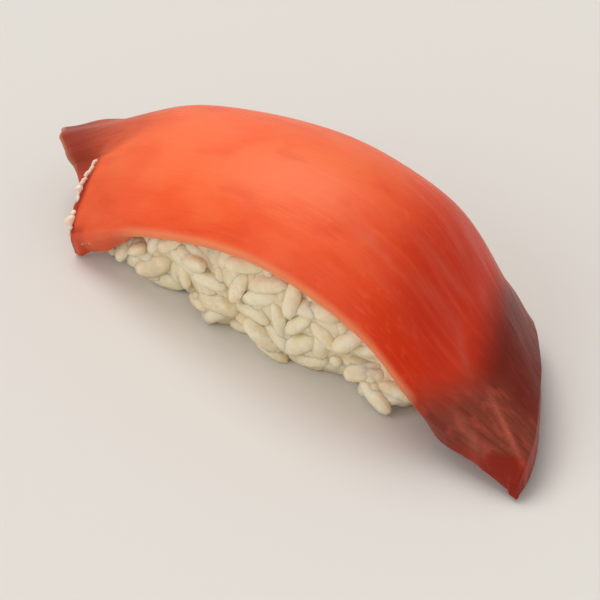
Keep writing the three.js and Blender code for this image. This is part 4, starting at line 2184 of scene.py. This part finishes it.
@dataclass
class Studio:
    """The floor, the soft lights and the camera.

    The camera's azimuth and elevation are in degrees and its distance in metres.  It aims
    at the drawing frame's origin, moved aside and up in its view by millimetres.
    """

    azimuth: float = 40.0
    elevation: float = 40.0
    distance: float = 0.65
    pixels_per_mm: float = 8.5
    aside: float = 0.67
    above: float = -1.1
    sensor: float = 36.0
    nearest: float = 0.01
    furthest: float = 50.0
    brightness: Ramp = Ramp(0.02, 0.3, 0.80, 0.54)
    tint: Ramp = Ramp(0.04, 0.2, change=Change.STRAIGHT)
    horizon: Colour = (0.96, 0.916, 0.85)
    overhead: Colour = (1.0, 0.985, 0.965)
    floor_rings: tuple[float, ...] = (0.0, 0.2, 1.0, 4.0, 12.0)
    floor_around: int = 64
    floor: PaleBoard = field(default_factory=PaleBoard)
    suns: tuple[SoftSun, ...] = (
        SoftSun("key_light", (-0.55, 0.18, 0.85), 40.0, 1.45, (1.0, 0.96, 0.90)),
        SoftSun("fill_light", (-0.38, -0.78, 0.55), 44.0, 0.62, (1.0, 0.98, 0.96)),
    )

    def build_floor(self) -> None:
        """Lay a wide floor: rings of points round the piece, flat on z = 0, and its disc."""
        radius = np.array(self.floor_rings)[:, None]
        angle = np.linspace(0, 2 * np.pi, self.floor_around + 1)[None]
        level = np.zeros_like(radius)
        points = np.stack(np.broadcast_arrays(radius * np.cos(angle), radius * np.sin(angle), level), -1)
        index = np.arange(points[..., 0].size).reshape(points.shape[:2])
        disc = np.stack([np.zeros(self.floor_around, int), index[1, :-1], index[1, 1:]], -1)
        shell = Shell(points.reshape(-1, 3) / MM, grid_quads(index[1:]), disc)
        shell.piece("floor", np.zeros(3), self.floor.material())

    def build_world(self) -> None:
        """Fill the room with pale light, as bright at the horizon as the floor that it meets."""
        world = bpy.data.worlds.new("studio_air")
        world.use_nodes = True
        bench = NodeBench(world.node_tree)
        split = bench.node("SeparateXYZ")
        bench.feed(split.inputs["Vector"], bench.node("TexCoord").outputs["Generated"])
        height = split.outputs["Z"]
        colour = bench.mixed(bench.ramped(height, self.tint), self.horizon, self.overhead)
        background = bench.tree.nodes["Background"]
        bench.feed(background.inputs["Color"], colour)
        bench.feed(background.inputs["Strength"], bench.ramped(height, self.brightness))
        bpy.context.scene.world = world

    def build_camera(self, shift: np.ndarray) -> None:
        """Set the camera at its angle round the drawing frame's origin.

        Args:
            shift: From the drawing frame to the row frame, in millimetres.
        """
        turn, rise = math.radians(self.azimuth), math.radians(self.elevation)
        back = Vector((math.sin(turn) * math.cos(rise), -math.cos(turn) * math.cos(rise), math.sin(rise)))
        right = Vector((math.cos(turn), math.sin(turn), 0.0))
        target = Vector(shift) * MM + (right * self.aside + back.cross(right) * self.above) * MM
        data = bpy.data.cameras.new("camera")
        data.sensor_width = self.sensor
        data.lens = self.pixels_per_mm / MM * self.distance * self.sensor / IMAGE_WIDTH
        data.clip_start = self.nearest
        data.clip_end = self.furthest
        camera = bpy.data.objects.new("camera", data)
        camera.location = target + back * self.distance
        camera.rotation_euler = back.to_track_quat("Z", "Y").to_euler()
        bpy.context.scene.collection.objects.link(camera)
        bpy.context.scene.camera = camera

    def build(self, shift: np.ndarray) -> None:
        """Set up the whole studio and its plain colour rendering.

        Args:
            shift: From the drawing frame to the row frame, in millimetres.
        """
        self.build_floor()
        self.build_world()
        self.build_camera(shift)
        for sun in self.suns:
            sun.build()
        settings = bpy.context.scene.view_settings
        settings.view_transform = "Standard"
        settings.look = "None"


# ---- All together ----


def drawing_shift(form: SliceForm) -> np.ndarray:
    """Give the way from the drawing frame to the row frame, in millimetres.

    The upper face reaches furthest of all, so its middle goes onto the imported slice's.

    Args:
        form: The slice's loft.

    Returns:
        The shift.
    """
    along, across = cross_grid(np.linspace(0.0, 1.0, 47), np.linspace(-1.0, 1.0, 25))
    skin = form.skin(along, across).reshape(-1, 3)
    low, high = (np.array(corner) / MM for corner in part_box("tuna"))
    shift = (low + high) / 2 - (skin.min(0) + skin.max(0)) / 2
    shift[2] = high[2] - skin[:, 2].max()
    return shift


def main() -> None:
    """Build the nigiri and its studio, and keep the two boxes."""
    logging.basicConfig(level=logging.INFO, format="%(name)s: %(message)s")
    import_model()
    bed, loft = BedForm(), SliceForm()
    shift = drawing_shift(loft)
    LOG.info("drawing frame to row frame: %s mm", np.round(shift, 3))
    tuna = TunaSlice(loft, bed, FleshZones(loft))
    tuna.build(shift)
    SinewLip(loft).build(shift)
    RiceBed(bed, tuna).build(shift)
    Studio().build(shift)


if __name__ == "__main__":
    main()
